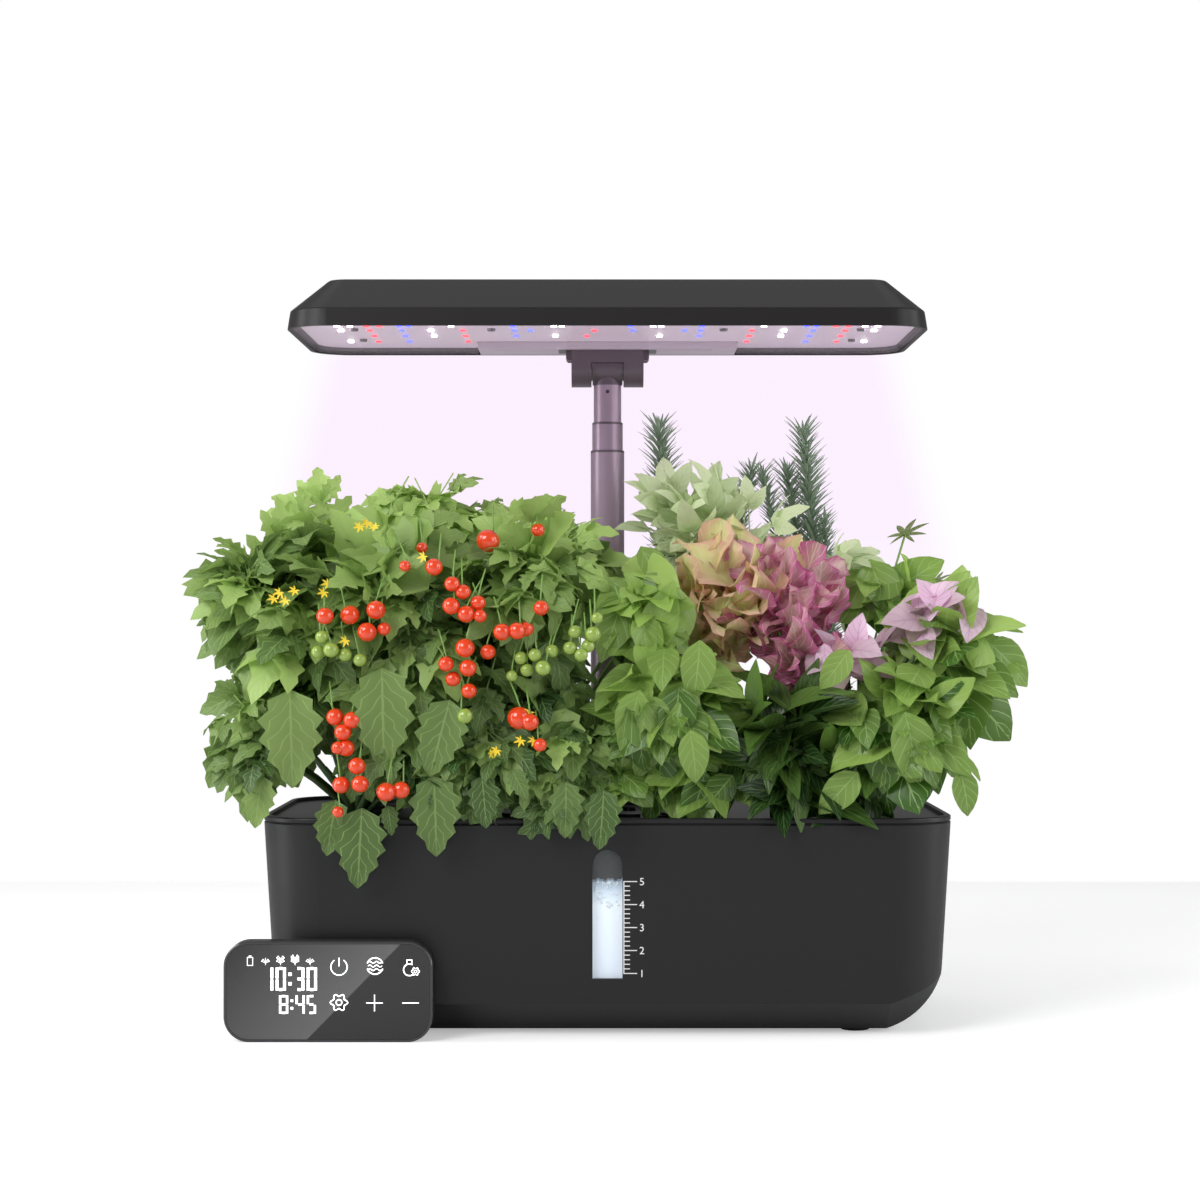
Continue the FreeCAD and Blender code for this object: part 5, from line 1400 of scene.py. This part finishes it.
def pad_glass_material() -> bpy.types.Material:
    """Black glass with a painted reflection: a soft slanting sheen lightens its base colour across its upper left."""
    material, shader = new_material("pad_glass")
    nodes, links = material.node_tree.nodes, material.node_tree.links
    place = nodes.new("ShaderNodeTexCoord")
    split = nodes.new("ShaderNodeSeparateXYZ")
    links.new(place.outputs["Object"], split.inputs[0])
    lean = maths(nodes, links, "SUBTRACT", split.outputs["X"], maths(nodes, links, "MULTIPLY", split.outputs["Z"], 0.98))
    edge = nodes.new("ShaderNodeMapRange")
    edge.inputs["From Min"].default_value = -0.1785
    edge.inputs["From Max"].default_value = -0.1775
    links.new(lean, edge.inputs["Value"])
    fade = nodes.new("ShaderNodeMapRange")
    fade.inputs["From Min"].default_value = -0.27
    fade.inputs["From Max"].default_value = -0.1785
    links.new(lean, fade.inputs["Value"])
    # Painted reflection: a slanting band of the glass is lightened in its base colour, sharp on one side and fading out
    # on the other.
    painted_reflection = maths(nodes, links, "MULTIPLY", fade.outputs["Result"],
                  maths(nodes, links, "SUBTRACT", 1.0, edge.outputs["Result"]))
    colour = ramp_between(nodes, links, painted_reflection, (0.004, 0.004, 0.005), (0.1, 0.1, 0.1))
    links.new(colour, socket(shader, "Base Color"))
    socket(shader, "Roughness").default_value = 0.12
    socket(shader, "Coat Weight").default_value = 0.5
    return material


def dress_frame(frame: dict) -> None:
    """Gives every hard node its finish.
    """
    slots = {row["node"]: row["material_slot"] for row in frame["record"]["subparts"]}
    made: dict[str, bpy.types.Material] = {}
    for node, thing in frame["nodes"].items():
        # The driver cover takes painted light, a glowing lilac finish, in place of its record slot.
        slot = "strip_painted_glow" if node == "driver_cover" else slots[node]
        if slot not in made:
            if slot == "pad_glass":
                made[slot] = pad_glass_material()
            elif slot == "strip_painted_glow":
                made[slot] = plain_material(slot, STRIP_PAINTED_GLOW)
            elif slot in FINISHES:
                made[slot] = plain_material(slot, FINISHES[slot])
            else:
                continue
        thing.data.materials.clear()
        thing.data.materials.append(made[slot])


# Studio

def add_area(name: str, at: Point, towards: Point, size: tuple[float, float], power: float, colour: Colour = (1, 1, 1)):
    """Adds a soft rectangular lamp."""
    light = bpy.data.lights.new(name, "AREA")
    light.shape = "RECTANGLE"
    light.size, light.size_y = size
    light.energy = power
    light.color = colour
    holder = bpy.data.objects.new(name, light)
    holder.location = at
    holder.rotation_euler = (Vector(towards) - Vector(at)).to_track_quat("-Z", "Y").to_euler()
    bpy.context.scene.collection.objects.link(holder)


def floor_material() -> bpy.types.Material:
    """A pale floor that shows white to the camera and keeps the object's shadow."""
    material, shader = new_material("floor")
    nodes, links = material.node_tree.nodes, material.node_tree.links
    socket(shader, "Base Color").default_value = (0.86, 0.86, 0.87, 1.0)
    socket(shader, "Roughness").default_value = 0.6
    socket(shader, "Specular IOR Level").default_value = 0.2
    ray = nodes.new("ShaderNodeLightPath")
    seen = maths(nodes, links, "MAXIMUM", ray.outputs["Is Camera Ray"], ray.outputs["Is Transmission Ray"])
    socket(shader, "Emission Color").default_value = (1.0, 1.0, 1.0, 1.0)
    links.new(maths(nodes, links, "MULTIPLY", seen, 0.38), socket(shader, "Emission Strength"))
    return material


def backdrop_material() -> bpy.types.Material:
    """White, with the faint lilac of the grow light below the lamp, and clear when seen from behind."""
    material = bpy.data.materials.new("backdrop")
    material.use_nodes = True
    nodes, links = material.node_tree.nodes, material.node_tree.links
    nodes.clear()
    place = nodes.new("ShaderNodeTexCoord")
    split = nodes.new("ShaderNodeSeparateXYZ")
    links.new(place.outputs["Object"], split.inputs[0])
    side = maths(nodes, links, "ABSOLUTE", split.outputs["X"])
    reach = maths(nodes, links, "SUBTRACT", side, maths(nodes, links, "MULTIPLY",
                  maths(nodes, links, "SUBTRACT", 0.50, split.outputs["Z"]), 0.26))
    across = nodes.new("ShaderNodeMapRange")
    across.interpolation_type = "SMOOTHSTEP"
    across.inputs["From Min"].default_value = 0.262
    across.inputs["From Max"].default_value = 0.215
    links.new(reach, across.inputs["Value"])
    low = nodes.new("ShaderNodeMapRange")
    low.inputs["From Min"].default_value = 0.2
    low.inputs["From Max"].default_value = 0.33
    links.new(split.outputs["Z"], low.inputs["Value"])
    top = maths(nodes, links, "LESS_THAN", split.outputs["Z"], 0.50)
    amount = maths(nodes, links, "MULTIPLY", maths(nodes, links, "MULTIPLY", across.outputs["Result"],
                   low.outputs["Result"]), top)
    glow = nodes.new("ShaderNodeEmission")
    links.new(ramp_between(nodes, links, amount, (1.0, 1.0, 1.0), (0.98, 0.87, 1.0)), glow.inputs["Color"])
    facing = nodes.new("ShaderNodeNewGeometry")
    clear = nodes.new("ShaderNodeBsdfTransparent")
    shown = nodes.new("ShaderNodeMixShader")
    links.new(facing.outputs["Backfacing"], shown.inputs[0])
    links.new(glow.outputs[0], shown.inputs[1])
    links.new(clear.outputs[0], shown.inputs[2])
    out = nodes.new("ShaderNodeOutputMaterial")
    links.new(shown.outputs[0], out.inputs["Surface"])
    return material


def set_stage() -> None:
    """The floor, the backdrop, the world, the lamps and the camera."""
    floor = Shape.empty()
    floor.add([(-6, -5, 0), (6, -5, 0), (6, 6, 0), (-6, 6, 0)], [(0, 1, 2, 3)])
    ground = floor.to_object("floor", floor_material())
    wall = Shape.empty()
    wall.add([(-3, 0.6, 0.02), (3, 0.6, 0.02), (3, 0.6, 2.5), (-3, 0.6, 2.5)], [(0, 1, 2, 3)])
    backdrop = wall.to_object("backdrop", backdrop_material())
    for name in ("visible_diffuse", "visible_glossy", "visible_shadow", "visible_volume_scatter"):
        setattr(backdrop, name, False)
    world = bpy.data.worlds.new("studio")
    bpy.context.scene.world = world
    world.use_nodes = True
    nodes, links = world.node_tree.nodes, world.node_tree.links
    nodes.clear()
    ray = nodes.new("ShaderNodeLightPath")
    seen = maths(nodes, links, "MAXIMUM", ray.outputs["Is Camera Ray"], ray.outputs["Is Transmission Ray"])
    strength = nodes.new("ShaderNodeMapRange")
    strength.inputs["To Min"].default_value = 0.32
    strength.inputs["To Max"].default_value = 1.0
    links.new(seen, strength.inputs["Value"])
    sky = nodes.new("ShaderNodeBackground")
    links.new(strength.outputs["Result"], sky.inputs["Strength"])
    out = nodes.new("ShaderNodeOutputWorld")
    links.new(sky.outputs[0], out.inputs["Surface"])
    add_area("key", (-1.3, -1.5, 1.5), (0.0, 0.0, 0.2), (1.2, 1.2), 34.0)
    add_area("fill", (1.7, -1.2, 0.9), (0.0, 0.0, 0.2), (1.0, 1.4), 14.0)
    add_area("left_strip", (-1.1, -0.2, 0.45), (0.0, 0.0, 0.1), (0.3, 1.2), 7.0)
    add_area("right_strip", (1.2, -0.1, 0.45), (0.0, 0.0, 0.1), (0.3, 1.2), 5.0)
    add_area("above", (0.0, 0.5, 1.9), (0.0, 0.0, 0.3), (1.6, 1.0), 5.0)
    eye = bpy.data.cameras.new("camera")
    eye.sensor_width = SENSOR
    eye.lens = SENSOR * PHOTO_FOCUS / PHOTO_SIZE
    eye.shift_x = -(PHOTO_CENTRE - PHOTO_SIZE / 2) / PHOTO_SIZE
    eye.shift_y = (PHOTO_HORIZON - PHOTO_SIZE / 2) / PHOTO_SIZE
    camera = bpy.data.objects.new("camera", eye)
    camera.location = (0.0, EYE_Y, EYE_Z)
    camera.rotation_euler = (math.pi / 2, 0.0, 0.0)
    bpy.context.scene.collection.objects.link(camera)
    bpy.context.scene.camera = camera
    bpy.context.scene.view_settings.view_transform = "Standard"


def main() -> None:
    """Builds the whole scene."""
    logging.basicConfig(level=logging.INFO)
    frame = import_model()
    dress_frame(frame)
    plants = Plants()
    plants.build()
    TankMarks().build(plants.tree, plants.inputs)
    PadMarks().build()
    set_stage()


if __name__ == "__main__":
    main()
